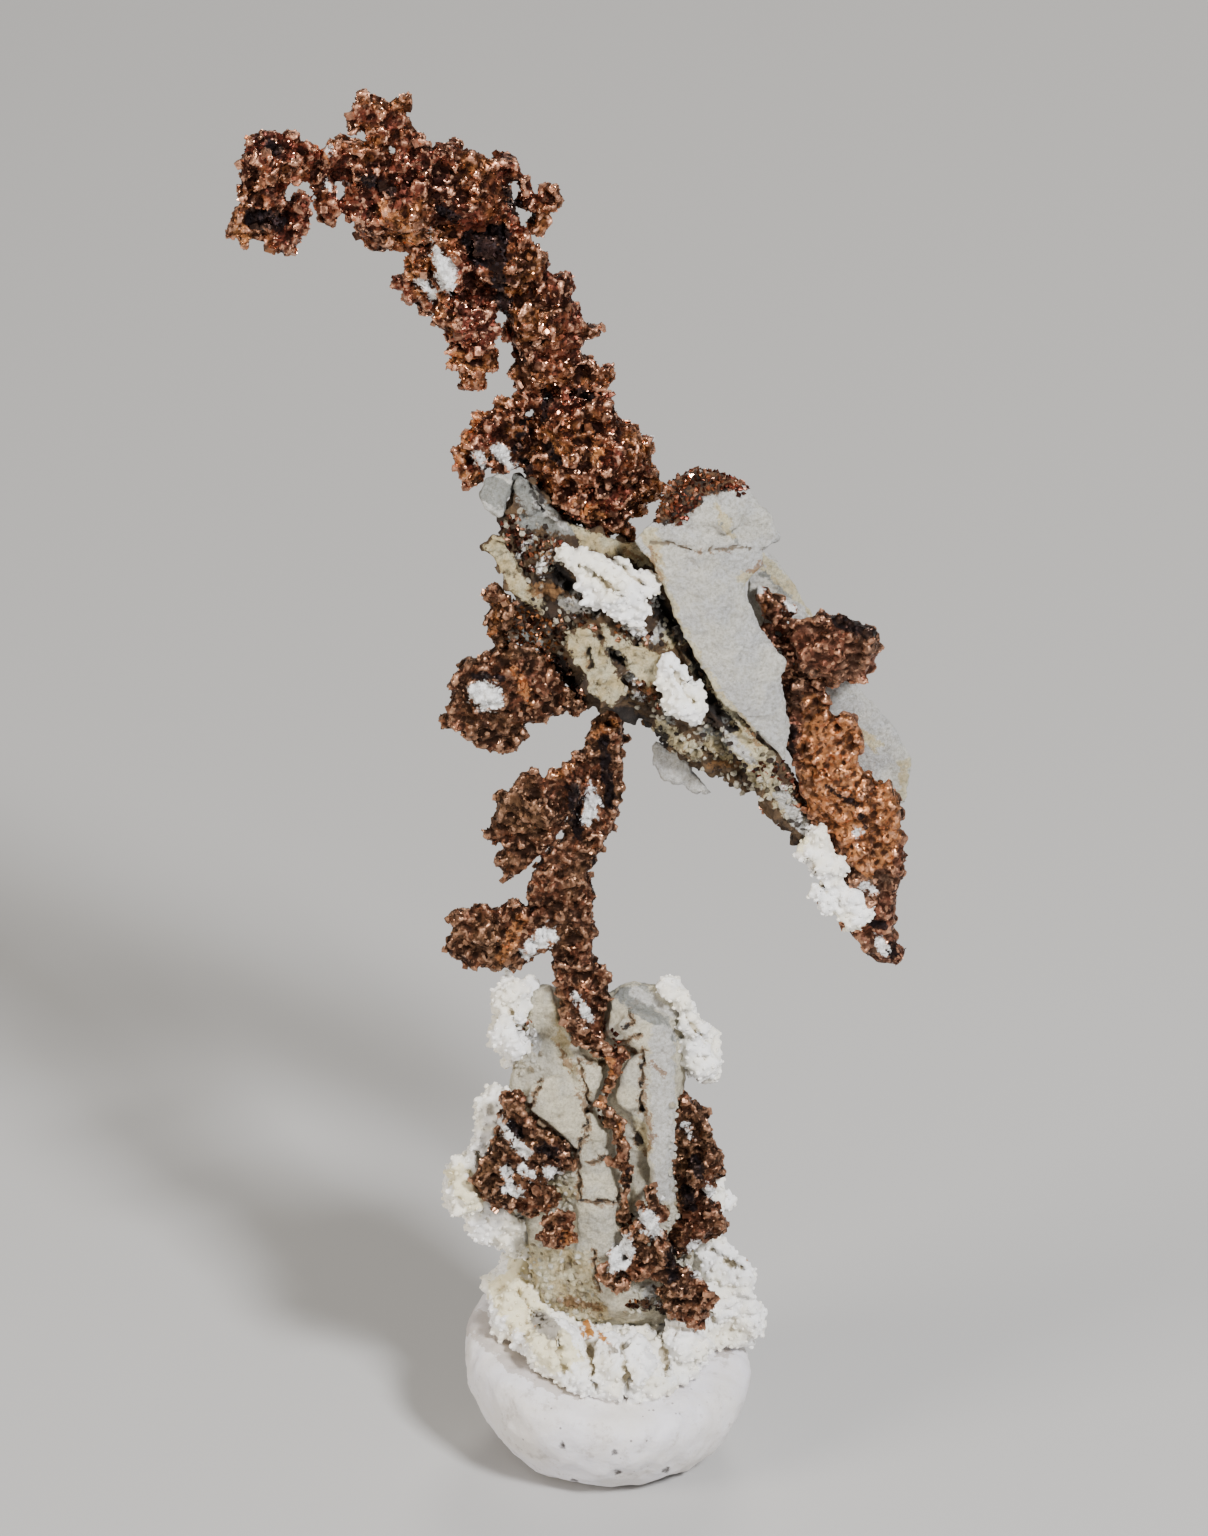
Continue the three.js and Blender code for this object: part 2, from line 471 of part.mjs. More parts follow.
// The white crust at the foot, drawn in plan on the putty's top, with a lip that stands up at the
// right, and the lumps of crust that climb the rock.
const FOOT = {
  outline: [
    [-6.0, 0.9], [-5.7, 2.6], [-4.8, 4.1], [-2.0, 5.2], [1.5, 5.4], [4.6, 5.0], [6.9, 3.4],
    [7.3, 1.6], [6.8, 0.1], [5.3, 0.2], [4.6, -2.6], [3.5, -4.2], [1.9, -5.0], [0.4, -5.6],
    [-1.4, -5.3], [-2.9, -4.4], [-4.3, -2.8], [-5.2, -0.8],
  ],
  thick: 2.2, lying: 7.1, lean: [-PUTTY.fallRight, PUTTY.riseBack], rough: 0.2,
  lumps: { count: 20, size: 1.5, seed: 31, deep: 0.5 },
};
const FOOT_CLIMBS = [
  { x: -4.6, y: 1.8, z: 8.6, size: 1.5 },
  { x: -4.4, y: -0.8, z: 8.4, size: 1.6 },
  { x: -2.6, y: -3.9, z: 7.9, size: 1.5 },
  { x: 0.9, y: -4.4, z: 7.7, size: 1.6 },
  { x: 3.9, y: -2.6, z: 7.6, size: 1.4 },
  { x: 5.0, y: 0.6, z: 8.2, size: 1.7 },
  { x: 4.4, y: 3.2, z: 8.2, size: 1.7 },
  { x: 1.6, y: 4.4, z: 8.4, size: 1.8 },
  { x: -1.6, y: 4.3, z: 8.6, size: 1.7 },
];
const FOOT_LIP = {
  outline: [
    [4.6, 10.6], [5.4, 10.9], [7.1, 9.4], [7.7, 7.6], [7.8, 6.2], [7.2, 5.0], [5.6, 4.8], [4.8, 6.4],
    [5.3, 8.2],
  ],
  thick: 2.4, at: -0.6, lean: [0.3, 0], lumps: { count: 4, size: 1.3, seed: 32 },
};
function footCrust(grow) {
  const roll = dice(33);
  const climbs = FOOT_CLIMBS.map(({ x, y, z, size }) => lump({ x, y, z }, size, roll, grow));
  return joined([growth(FOOT, grow), growth(FOOT_LIP, grow), ...climbs]);
}

// Every piece, in the order in which they are fitted: each is cut back from those before it.
const withPlates = (block, plates, thick, at) => (grow) =>
  joined([
    growth(block, grow),
    ...plates.map((one, i) => plate({ thick, at, rough: 0.08, seed: i + 1, ...one }, grow)),
  ]);
const PIECES = [
  ["putty_base", PUTTY_WHITE, puttyBase],
  ["copper_stem", COPPER, (grow) => growth(STEM, grow)],
  ["copper_vein", COPPER, (grow) => growth(VEIN, grow)],
  ["copper_cluster_left", COPPER, (grow) => growth(CLUSTER_LEFT, grow)],
  ["copper_cluster_low", COPPER, (grow) => growth(CLUSTER_LOW, grow)],
  ["copper_cluster_right", COPPER, (grow) => growth(CLUSTER_RIGHT, grow)],
  ["lower_rock", ROCK, withPlates(LOWER_BLOCK, LOWER_PLATES, 1.2, 2.5)],
  ["foot_crust", CRUST, footCrust],
  ["copper_cluster_foot", COPPER, (grow) => growth(CLUSTER_FOOT, grow)],
  ["crust_shoulder_left", CRUST, (grow) => growth(SHOULDER_LEFT, grow)],
  ["crust_shoulder_right", CRUST, (grow) => growth(SHOULDER_RIGHT, grow)],
  ["crust_left", CRUST, (grow) => growth(CRUST_LEFT, grow)],
  ["crust_right", CRUST, (grow) => growth(CRUST_RIGHT, grow)],
  ["copper_stem_leaf", COPPER, (grow) => growth(STEM_LEAF, grow)],
  ["copper_stem_spur", COPPER, (grow) => growth(STEM_SPUR, grow)],
  ["upper_rock", ROCK, withPlates(UPPER_BLOCK, UPPER_PLATES, 1.0, 2.0)],
  ["rock_front_sheet", ROCK, (grow) => growth(FRONT_SHEET, grow)],
  ["rock_back_sheet", ROCK, (grow) => growth(BACK_SHEET, grow)],
  ["rock_pebble", ROCK, (grow) => plate(PEBBLE, grow)],
  ["rock_flake", ROCK, (grow) => plate(FLAKE, grow)],
  ["crust_bright", CRUST, (grow) => growth(CRUST_BRIGHT, grow)],
  ["crust_little", CRUST, (grow) => growth(CRUST_LITTLE, grow)],
  ["crust_tail", CRUST, (grow) => growth(CRUST_TAIL, grow)],
  ["copper_band", COPPER, (grow) => growth(BAND, grow)],
  ["copper_knob", COPPER, (grow) => growth(KNOB, grow)],
  ["copper_left_lobe", COPPER, (grow) => growth(LEFT_LOBE, grow)],
  ["copper_left_knob", COPPER, (grow) => growth(LEFT_KNOB, grow)],
  ["copper_neck", COPPER, (grow) => growth(NECK, grow)],
  ["copper_neck_lobe", COPPER, (grow) => growth(NECK_LOBE, grow)],
  ["copper_column", COPPER, (grow) => growth(COLUMN, grow)],
  ["copper_tongue", COPPER, (grow) => growth(TONGUE, grow)],
  ["copper_arm", COPPER, (grow) => growth(ARM, grow)],
  ["copper_crest", COPPER, (grow) => growth(CREST, grow)],
  ["copper_hook", COPPER, (grow) => growth(HOOK, grow)],
  ["copper_curl", COPPER, (grow) => growth(CURL, grow)],
];

function meshOf(name, material, solid) {
  const { vertProperties, triVerts } = solid.getMesh();
  const geometry = new THREE.BufferGeometry();
  geometry.setAttribute("position", new THREE.BufferAttribute(vertProperties, 3));
  geometry.setIndex(new THREE.BufferAttribute(triVerts, 1));
  const mesh = new THREE.Mesh(geometry, material);
  mesh.name = name;
  return mesh;
}

const specimen = new THREE.Group();
const clearances = [];
for (const [name, material, shape] of PIECES) {
  const fitted = clearances.reduce((left, taken) => left.subtract(taken), shape(0));
  const smooth = fitted.asOriginal().simplify(SMALLEST);
  const [whole] = smooth.decompose().sort((a, b) => b.volume() - a.volume());
  specimen.add(meshOf(name, material, whole));
  clearances.push(shape(GAP));
}

export default specimen;
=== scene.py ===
# %% [markdown]
# # A specimen of native copper
# Copper grew here in branches through a pale rock, and a white crust grew over both. The whole
# piece is about as tall as a finger, and a lump of white putty holds it upright. The CAD model
# gives every part its place and outline. This script grows the fine relief over those solids,
# crystal by crystal, and gives copper, rock, crust and putty their finish.

import math

import bmesh
import bpy
import numpy as np
from mathutils import Matrix, Vector


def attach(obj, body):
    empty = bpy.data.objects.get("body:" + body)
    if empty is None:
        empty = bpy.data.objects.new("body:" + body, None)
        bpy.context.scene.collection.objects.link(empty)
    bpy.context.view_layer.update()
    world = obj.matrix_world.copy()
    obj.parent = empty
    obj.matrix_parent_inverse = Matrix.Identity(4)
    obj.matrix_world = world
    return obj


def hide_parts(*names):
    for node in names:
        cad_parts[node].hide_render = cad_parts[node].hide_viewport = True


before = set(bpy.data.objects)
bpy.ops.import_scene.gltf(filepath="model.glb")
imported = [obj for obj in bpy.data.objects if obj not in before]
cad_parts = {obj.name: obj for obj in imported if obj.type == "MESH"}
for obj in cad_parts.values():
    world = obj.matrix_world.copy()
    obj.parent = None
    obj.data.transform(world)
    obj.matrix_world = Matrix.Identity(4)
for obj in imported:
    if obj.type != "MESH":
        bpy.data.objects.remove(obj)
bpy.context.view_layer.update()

# %% [markdown]
# ## Working in millimetres
# A voxel remesh can't go below a tenth of a millimetre when a unit is a metre, and this relief is
# finer. So each form is modelled with a millimetre as the unit, and made small at the very end.
#
# The outlines were drawn as the specimen is seen from 28 degrees above level. A point's place in
# that drawing, right and up, is its x and a mix of its z and y. Stains and patches that show on
# the front are placed in the same way.

# %% Units and the drawing plane
MM = 0.001
SEEN_FROM = math.radians(28)
TO_VIEWER = np.array([0, -math.cos(SEEN_FROM), math.sin(SEEN_FROM)])


def drawn(points):
    """Right and up, in mm, of points in mm, as the drawing shows them."""
    across = points[:, 0]
    up = points[:, 2] * math.cos(SEEN_FROM) + points[:, 1] * math.sin(SEEN_FROM)
    return np.stack([across, up], axis=1)


# %% [markdown]
# ## From a CAD solid to a form
# A form starts as a copy of one or more CAD solids, merged, because the frame's triangles are
# loose. It is shrunk or swollen a little: shrunk where crystals will stand on it, so that their
# tips end at the CAD outline, and swollen where neighbours have to close up on each other.

# %% Copying the solids
MERGED = 0.002  # points closer than this are one point, in mm


def put_in(name, data):
    """A new object in the scene, with this mesh, light or camera."""
    made = bpy.data.objects.new(name, data)
    bpy.context.collection.objects.link(made)
    return made


def put_mesh(name, builder):
    """The bmesh as a new object in the scene."""
    mesh = bpy.data.meshes.new(name)
    builder.to_mesh(mesh)
    builder.free()
    return put_in(name, mesh)


def form_of(*nodes, swell=0.0):
    """The solids of these CAD nodes as one object in mm, moved out along its normals by swell."""
    form = bmesh.new()
    for node in nodes:
        form.from_mesh(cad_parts[node].data)
    bmesh.ops.scale(form, vec=Vector((1, 1, 1)) / MM, verts=form.verts)
    bmesh.ops.remove_doubles(form, verts=form.verts, dist=MERGED)
    form.normal_update()
    for vert, normal in [(vert, vert.normal.copy()) for vert in form.verts]:
        vert.co += normal * swell
    return put_mesh(nodes[0] + "_form", form)


# %% [markdown]
# ## Node trees in few words
# Crystals are scattered with Geometry Nodes, and every finish is a tree of shader nodes. Trees
# could be clicked together by hand, but then they couldn't be read here. So small helpers write
# them: one adds a node and links its inputs, one does a sum, and one starts a group whose sockets
# have names.


# %% A node, a sum and a group
def add(tree, kind, inputs=None, **settings):
    """A new node, with its settings, and its inputs set to a value or linked to a socket."""
    made = tree.nodes.new(kind)
    for key, value in settings.items():
        setattr(made, key, value)
    for key, value in (inputs or {}).items():
        if isinstance(value, bpy.types.NodeSocket):
            tree.links.new(value, made.inputs[key])
        else:
            made.inputs[key].default_value = value
    return made


def maths(tree, operation, *values, kind="ShaderNodeMath", result=0):
    """The result of a sum, of numbers unless the kind of node is one for vectors."""
    return add(tree, kind, dict(enumerate(values)), operation=operation).outputs[result]


def new_group(name, kind, inputs, outputs):
    """A node group with sockets of these names and kinds, and the sockets that feed it."""
    tree = bpy.data.node_groups.new(name, kind)
    for way, sockets in (("INPUT", inputs), ("OUTPUT", outputs)):
        for label, socket in sockets.items():
            tree.interface.new_socket(label, in_out=way, socket_type="NodeSocket" + socket)
    return tree, add(tree, "NodeGroupInput").outputs


# %% [markdown]
# ## Growing crystals over a form
# Thousands of grains could be set one at a time in a loop, but Geometry Nodes does it in a moment:
# it spreads points over the form, puts a small body on each one, turns and stretches it by chance,
# and makes all of them real mesh. Cubes and eight-sided shards give copper its hackly facets,
# many-sided grains lie on rock and crust, and small spheres give the crust its cauliflower knobs.
# Every body also stores a random number, its tone, which the finish reads later.

# %% The scattering node group
CROWD = 60.0  # points tried on each square millimetre, before those too close are dropped
FAINTEST = 0.01  # a crystal's lowest tone, because nought is the fused skin's


def scattering(name, body, settings, keep=True):
    """A modifier's node group that covers a mesh with small bodies. It keeps the mesh, or not."""
    sockets = {"Mesh": "Geometry", "Apart": "Float", "Least": "Vector", "Most": "Vector"}
    sockets |= {"Seed": "Int", "Where": "Float"}
    tree, given = new_group(name, "GeometryNodeTree", sockets, {"Mesh": "Geometry"})
    tree.is_modifier = True
    seed = given["Seed"]
    there = maths(tree, "GREATER_THAN", given["Where"], 0.0)
    spread = {"Mesh": given["Mesh"], "Distance Min": given["Apart"], "Seed": seed}
    spread |= {"Density Max": CROWD, "Density Factor": there}
    points = add(tree, "GeometryNodeDistributePointsOnFaces", spread, distribute_method="POISSON")

    chance = "FunctionNodeRandomValue"
    tone = add(tree, chance, {2: FAINTEST}, data_type="FLOAT").outputs[1]
    stored = {"Geometry": points.outputs["Points"], "Name": "tone", "Value": tone}
    toned = add(tree, "GeometryNodeStoreNamedAttribute", stored, data_type="FLOAT", domain="POINT")

    least_most = {0: given["Least"], 1: given["Most"], "Seed": seed}
    size = add(tree, chance, least_most, data_type="FLOAT_VECTOR").outputs[0]
    turn = add(tree, chance, {1: (math.tau,) * 3}, data_type="FLOAT_VECTOR").outputs[0]
    grain = add(tree, body, settings).outputs["Mesh"]
    copies = {"Points": toned.outputs["Geometry"], "Instance": grain}
    copies |= {"Rotation": turn, "Scale": size}
    grains = add(tree, "GeometryNodeInstanceOnPoints", copies).outputs["Instances"]
    real = add(tree, "GeometryNodeRealizeInstances", {"Geometry": grains}).outputs["Geometry"]
    both = add(tree, "GeometryNodeJoinGeometry")
    for part in [given["Mesh"], real] if keep else [real]:
        tree.links.new(part, both.inputs["Geometry"])
    add(tree, "NodeGroupOutput", {"Mesh": both.outputs["Geometry"]})
    return tree


EIGHT_SIDED = ("GeometryNodeMeshUVSphere", {"Segments": 4, "Rings": 2, "Radius": 0.5})
ROUND = "GeometryNodeMeshIcoSphere"
BLOCKS = scattering("Blocky crystals", "GeometryNodeMeshCube", {"Size": (1, 1, 1)})
SHARDS = scattering("Eight-sided crystals", *EIGHT_SIDED)
LOOSE_SHARDS = scattering("Eight-sided crystals alone", *EIGHT_SIDED, keep=False)
GEMS = scattering("Many-sided grains", ROUND, {"Radius": 0.5, "Subdivisions": 1})
BEADS = scattering("Rounded grains", ROUND, {"Radius": 0.5, "Subdivisions": 2})


def cover(form, kind, apart, sizes, seed, where=None):
    """Adds the scattering to a form: grains this far apart, each side between the two sizes, and
    only where the named attribute is above nought."""
    modifier = form.modifiers.new("cover", "NODES")
    modifier.node_group = kind
    least, most = ([size] * 3 for size in sizes)
    values = {"Apart": apart, "Least": least, "Most": most, "Seed": seed, "Where": 1.0}
    for socket in kind.interface.items_tree:
        if socket.in_out == "INPUT" and socket.name in values:
            modifier[socket.identifier] = values[socket.name]
            if socket.name == "Where" and where:
                modifier[socket.identifier + "_use_attribute"] = True
                modifier[socket.identifier + "_attribute_name"] = where


# %% [markdown]
# ## Fusing the grains and roughening the skin
# The grains still cut through one another. A voxel remesh fuses all of them into one closed skin,
# the way that crystals grow together. A Displace modifier then works a procedural texture into
# that skin as real relief. Shader bump would be cheaper, but it can't change the silhouette, and
# on such a small ragged thing the silhouette is what the eye reads first.


# %% Fusing and roughening
def fuse(form, voxel):
    """Joins everything in the form in one closed skin, with faces of about this many mm."""
    modifier = form.modifiers.new("fuse", "REMESH")
    modifier.mode = "VOXEL"
    modifier.voxel_size = voxel
    modifier.use_smooth_shade = True


def soften(form, factor, times):
    """Wears the skin down, by this factor at each of so many passes."""
    modifier = form.modifiers.new("soften", "SMOOTH")
    modifier.factor = factor
    modifier.iterations = times


def roughen(form, pattern, grain, depth, **settings):
    """Works a texture with features of about grain mm into the skin, depth mm from low to high."""
    texture = bpy.data.textures.new(form.name + "_" + pattern.lower(), pattern)
    texture.noise_scale = grain
    for key, value in settings.items():
        setattr(texture, key, value)
    modifier = form.modifiers.new("roughen", "DISPLACE")
    modifier.texture = texture
    modifier.texture_coords = "LOCAL"
    modifier.strength = depth
    return modifier


def fray(form, grain, reach):
    """Shifts the form sideways and up by noise, so that outlines fray and flat faces stay flat."""
    roughen(form, "CLOUDS", grain, reach).direction = "X"
    roughen(form, "CLOUDS", grain * 0.8, reach, noise_depth=3).direction = "Z"


def applied(form, name):
    """The form with its modifiers worked in, as a new object with this name."""
    seen = form.evaluated_get(bpy.context.evaluated_depsgraph_get())
    mesh = bpy.data.meshes.new_from_object(seen)
    mesh.name = name
    bpy.data.objects.remove(form)
    return put_in(name, mesh)


# %% [markdown]
# ## Knowing hollows from edges
# On the real copper the hollows are nearly black with tarnish and the crystal edges are bright
# where they were touched. A shader can't see that by itself, so each vertex stores how deep it
# lies under a smoothed copy of the skin, in millimetres: above nought in a hollow, below nought on
# an edge. The smoothing is an average over neighbours, repeated. The finishes also darken every
# wide hollow, and the small hollows of rock and crust, as painted shade.


# %% Measuring hollows
def vertex_arrays(mesh):
    """The place and the normal of every vertex, one row for each."""
    place = np.empty(len(mesh.vertices) * 3, np.float32)
    mesh.vertices.foreach_get("co", place)
    normal = np.empty(len(mesh.vertices) * 3, np.float32)
    mesh.vertex_normals.foreach_get("vector", normal)
    return place.reshape(-1, 3), normal.reshape(-1, 3)


def hollows(piece, rounds):
    """How deep each vertex lies under the skin smoothed this many times, in mm."""
    mesh = piece.data
    place, normal = vertex_arrays(mesh)
    count = len(place)
    ends = np.empty(len(mesh.edges) * 2, np.int32)
    mesh.edges.foreach_get("vertices", ends)
    one, other = ends.reshape(-1, 2).T
    neighbours = np.bincount(one, minlength=count) + np.bincount(other, minlength=count)
    smooth = place.astype(float)
    for _ in range(rounds):
        total = np.empty_like(smooth)
        for axis in range(3):
            column = smooth[:, axis]
            total[:, axis] = np.bincount(one, column[other], count)
            total[:, axis] += np.bincount(other, column[one], count)
        smooth = (smooth + total) / (1 + neighbours)[:, None]
    return ((smooth - place) * normal).sum(axis=1)


# %% [markdown]
# ## Marking patches
# Some patches belong in one place: a white streak, a dark patch of painted shade, a rust stain.
# Each is drawn as a stroke of a round brush or as a shape with corners, and two sine waves shake its edge.
# A vertex stores how far inside the nearest one it lies, in mm, and the material frays that edge
# with noise. The back isn't in the drawing. There a few long waves in random directions add up,
# and where they pile up highest a patch lies. The cracks in the rock and the folds in the crust
# are strokes as well, pressed into the skin.


# %% Strokes and shapes
def inside_stroke(spot, stroke):
    """How far inside a stroke (right, up, right, up, radius) each spot lies."""
    x0, y0, x1, y1, radius = stroke
    start, way = np.array([x0, y0]), np.array([x1 - x0, y1 - y0])
    along = np.clip(((spot - start) @ way) / max(way @ way, 1e-9), 0, 1)
    return radius - np.linalg.norm(spot - start - along[:, None] * way, axis=1)


def inside_shape(spot, corners):
    """How far inside a shape each spot lies, or, below nought, how far outside."""
    corners = np.array(corners, float)
    nearest = np.full(len(spot), -np.inf)
    crossings = np.zeros(len(spot), int)
    for (x0, y0), (x1, y1) in zip(corners, np.roll(corners, -1, axis=0)):
        nearest = np.maximum(nearest, inside_stroke(spot, (x0, y0, x1, y1, 0.0)))
        if y0 != y1:
            spans = (spot[:, 1] < y0) != (spot[:, 1] < y1)
            crossings += spans & (spot[:, 0] < x0 + (spot[:, 1] - y0) * (x1 - x0) / (y1 - y0))
    return np.where(crossings % 2, -nearest, nearest)


# %% Front and back
FAR_OUT = -9.0  # the depth stored where no patch is near
FACES_FRONT = -0.25  # a normal that turns further away than this is on the back
SHAKES = ((5.1, 3.3, 6.7), (13, 9, 11))  # two waves, in radians for each mm along x, y and z
SHAKE = 0.35  # how steeply they shake an edge, so that the shorter wave shakes it less far


def back_patches(place, seed, waves=5, pace=1.4, steepness=0.18, rarity=0.42):
    """Depths for patches by chance: waves in random directions, less a bar that few reach. A
    wave's pace is about so many radians for each mm."""
    draw = np.random.default_rng(seed)
    heights = [np.sin(place @ draw.normal(0, pace, 3) + draw.uniform(0, 6)) for _ in range(waves)]
    return steepness * np.sum(heights, axis=0) - rarity


def inside(piece, drawing, seed=None):
    """The greatest depth inside any stroke or shape, on what faces the viewer. On the back,
    patches fall by chance, if there is a seed for them."""
    place, normal = vertex_arrays(piece.data)
    spot = drawn(place)
    for waves in SHAKES:
        turn = place @ np.array(waves)
        spot = spot + np.stack([np.sin(turn), np.cos(turn * 0.8)], axis=1) * SHAKE / waves[0]
    depth = np.full(len(spot), FAR_OUT)
    for mark in drawing:
        reach = inside_shape if isinstance(mark[0], tuple) else inside_stroke
        depth = np.maximum(depth, reach(spot, mark))
    behind = FAR_OUT if seed is None else back_patches(place, seed)
    return np.where(normal @ TO_VIEWER > FACES_FRONT, depth, behind)


def store(piece, name, values):
    layer = piece.data.attributes.new(name, "FLOAT", "POINT")
    layer.data.foreach_set("value", values.astype(np.float32))


# %% Pressing strokes in
CRACK_EDGE = 0.08  # mm from a crack's lip to its full depth
CRACK_WIDER, CRACK_SWING = 0.03, 0.04  # mm that a crack is wider than drawn, and their swing
CRACK_WAVES = np.array([2.1, 1.3, 2.7])  # how fast that swings, in radians for each mm


def carve(piece, drawing, depth):
    """Presses the drawing's strokes into the skin by this depth."""
    place, normal = vertex_arrays(piece.data)
    wider = CRACK_WIDER + CRACK_SWING * np.sin(place @ CRACK_WAVES)
    share = np.clip((inside(piece, drawing) + wider) / CRACK_EDGE + 0.5, 0, 1)
    place = place - normal * (depth * share)[:, None]
    piece.data.vertices.foreach_set("co", place.astype(np.float32).ravel())
    piece.data.update()


# %% [markdown]
# ## Shader building blocks
# Every finish is built like a painting: a ground colour, then one tint after another laid over it
# where noise, a stored measure or a drawn patch says so. These helpers make those steps.


# %% Mixing, ranges and noise
def blend(tree, share, low, high, how="MIX"):
    """Mixes two colours by a share."""
    inputs = {0: share}
    for index, colour in ((6, low), (7, high)):
        inputs[index] = (*colour, 1) if isinstance(colour, tuple) else colour
    settings = {"data_type": "RGBA", "blend_type": how, "clamp_factor": True}
    return add(tree, "ShaderNodeMix", inputs, **settings).outputs[2]


def span(tree, value, low, high, to_low=0.0, to_high=1.0):
    """Maps a value from one range to another, smoothly and clamped."""
    inputs = {"Value": value, "From Min": low, "From Max": high, "To Min": to_low}
    inputs["To Max"] = to_high
    made = add(tree, "ShaderNodeMapRange", inputs, interpolation_type="SMOOTHSTEP")
    return made.outputs["Result"]


def lay(tree, colour, tint, over, low=0.0, high=1.0, most=1.0):
    """A tint laid over a colour, from none where the value is low to the most where it is high."""
    return blend(tree, span(tree, over, low, high, 0.0, most), colour, tint)


def attribute(tree, name):
    return add(tree, "ShaderNodeAttribute", attribute_name=name).outputs["Fac"]


def cloud(tree, where, size_mm, detail=4.0, roughness=0.6):
    """Noise whose blobs are about this many mm across, from 0 to 1."""
    inputs = {"Vector": where, "Scale": 1 / (size_mm * MM), "Detail": detail}
    inputs["Roughness"] = roughness
    return add(tree, "ShaderNodeTexNoise", inputs).outputs["Fac"]


def bump(tree, height, strength, depth_mm, **under):
    """The normal of a skin with this relief, on top of another normal if one is given."""
    inputs = {"Height": height, "Strength": strength, "Distance": depth_mm * MM, **under}
    return add(tree, "ShaderNodeBump", inputs).outputs["Normal"]


def new_finish(name):
    """A material, its tree, its shader and the place on the object."""
    material = bpy.data.materials.new(name)
    material.use_nodes = True
    tree = material.node_tree
    where = add(tree, "ShaderNodeTexCoord").outputs["Object"]
    return material, tree, tree.nodes["Principled BSDF"], where


# %% [markdown]
# ### A frayed patch
# Several finishes need a patch that was drawn with strokes. This group takes the stored distance
# and gives a mask whose edge is broken up by noise, as a crust or a stain breaks up.


# %% The group for frayed patches
PATCH_EDGE = 0.08  # mm, the mask fades from so far inside a frayed edge to so far outside


def frayed_patch():
    sockets = {"Inside": "Float", "Fray": "Float", "Size": "Float"}
    tree, given = new_group("Frayed patch", "ShaderNodeTree", sockets, {"Mask": "Float"})
    place = add(tree, "ShaderNodeTexCoord").outputs["Object"]
    inputs = {"Vector": place, "Scale": given["Size"], "Detail": 5.0, "Roughness": 0.7}
    rough = add(tree, "ShaderNodeTexNoise", inputs).outputs["Fac"]
    centred = maths(tree, "SUBTRACT", rough, 0.5)
    frayed = maths(tree, "MULTIPLY_ADD", centred, given["Fray"], given["Inside"])
    add(tree, "NodeGroupOutput", {"Mask": span(tree, frayed, -PATCH_EDGE, PATCH_EDGE)})
    return tree


FRAYED = frayed_patch()


def patch(tree, name, fray, size_mm):
    """The mask of the patches of this name, frayed this much by noise of this size."""
    inputs = {"Inside": attribute(tree, name), "Fray": fray, "Size": 1 / (size_mm * MM)}
    return add(tree, "ShaderNodeGroup", inputs, node_tree=FRAYED).outputs["Mask"]


# %% [markdown]
# ### Hackly facets
# Broken or grown metal glitters because it is covered with tiny flat facets, each tilted its own
# way. This group makes such facets for the Bump node: it cuts space into cells, and the height in
# each cell is a flat slope with a random tilt. It also puts out one random number per cell.


# %% The group for facets
def hackly_facets():
    results = {"Height": "Float", "Chance": "Float"}
    tree, given = new_group("Hackly facets", "ShaderNodeTree", {"Size": "Float"}, results)
    vectors = "ShaderNodeVectorMath"
    place = add(tree, "ShaderNodeTexCoord").outputs["Object"]
    cell = add(tree, "ShaderNodeTexVoronoi", {"Vector": place, "Scale": given["Size"]}).outputs
    offset = maths(tree, "SUBTRACT", place, cell["Position"], kind=vectors)
    tilt = maths(tree, "SUBTRACT", cell["Color"], (0.5, 0.5, 0.5), kind=vectors)
    slope = maths(tree, "DOT_PRODUCT", offset, tilt, kind=vectors, result="Value")
    chance = add(tree, "ShaderNodeSeparateColor", {"Color": cell["Color"]}).outputs["Blue"]
    add(tree, "NodeGroupOutput", {"Height": slope, "Chance": chance})
    return tree


FACETS = hackly_facets()

# %% [markdown]
# ## Native copper
# Fresh copper is salmon pink, but a natural crystal is seldom fresh. It wears a skin of red and
# brown oxide, darkest in the small hollows, while some crystals and edges stay bright. So every
# crystal draws a lot, its tone: most come out brown, some nearly black, a few bright and polished.
# The depth of the skin then darkens the small hollows with oxide and the wide ones as painted
# shade. Dark clouds laid by noise are painted shade too, and drawn patches add painted shade in
# holes and creases, white crust, and painted warm light where the copper looks orange.

# %% The copper finish
FACET = 0.17  # mm across


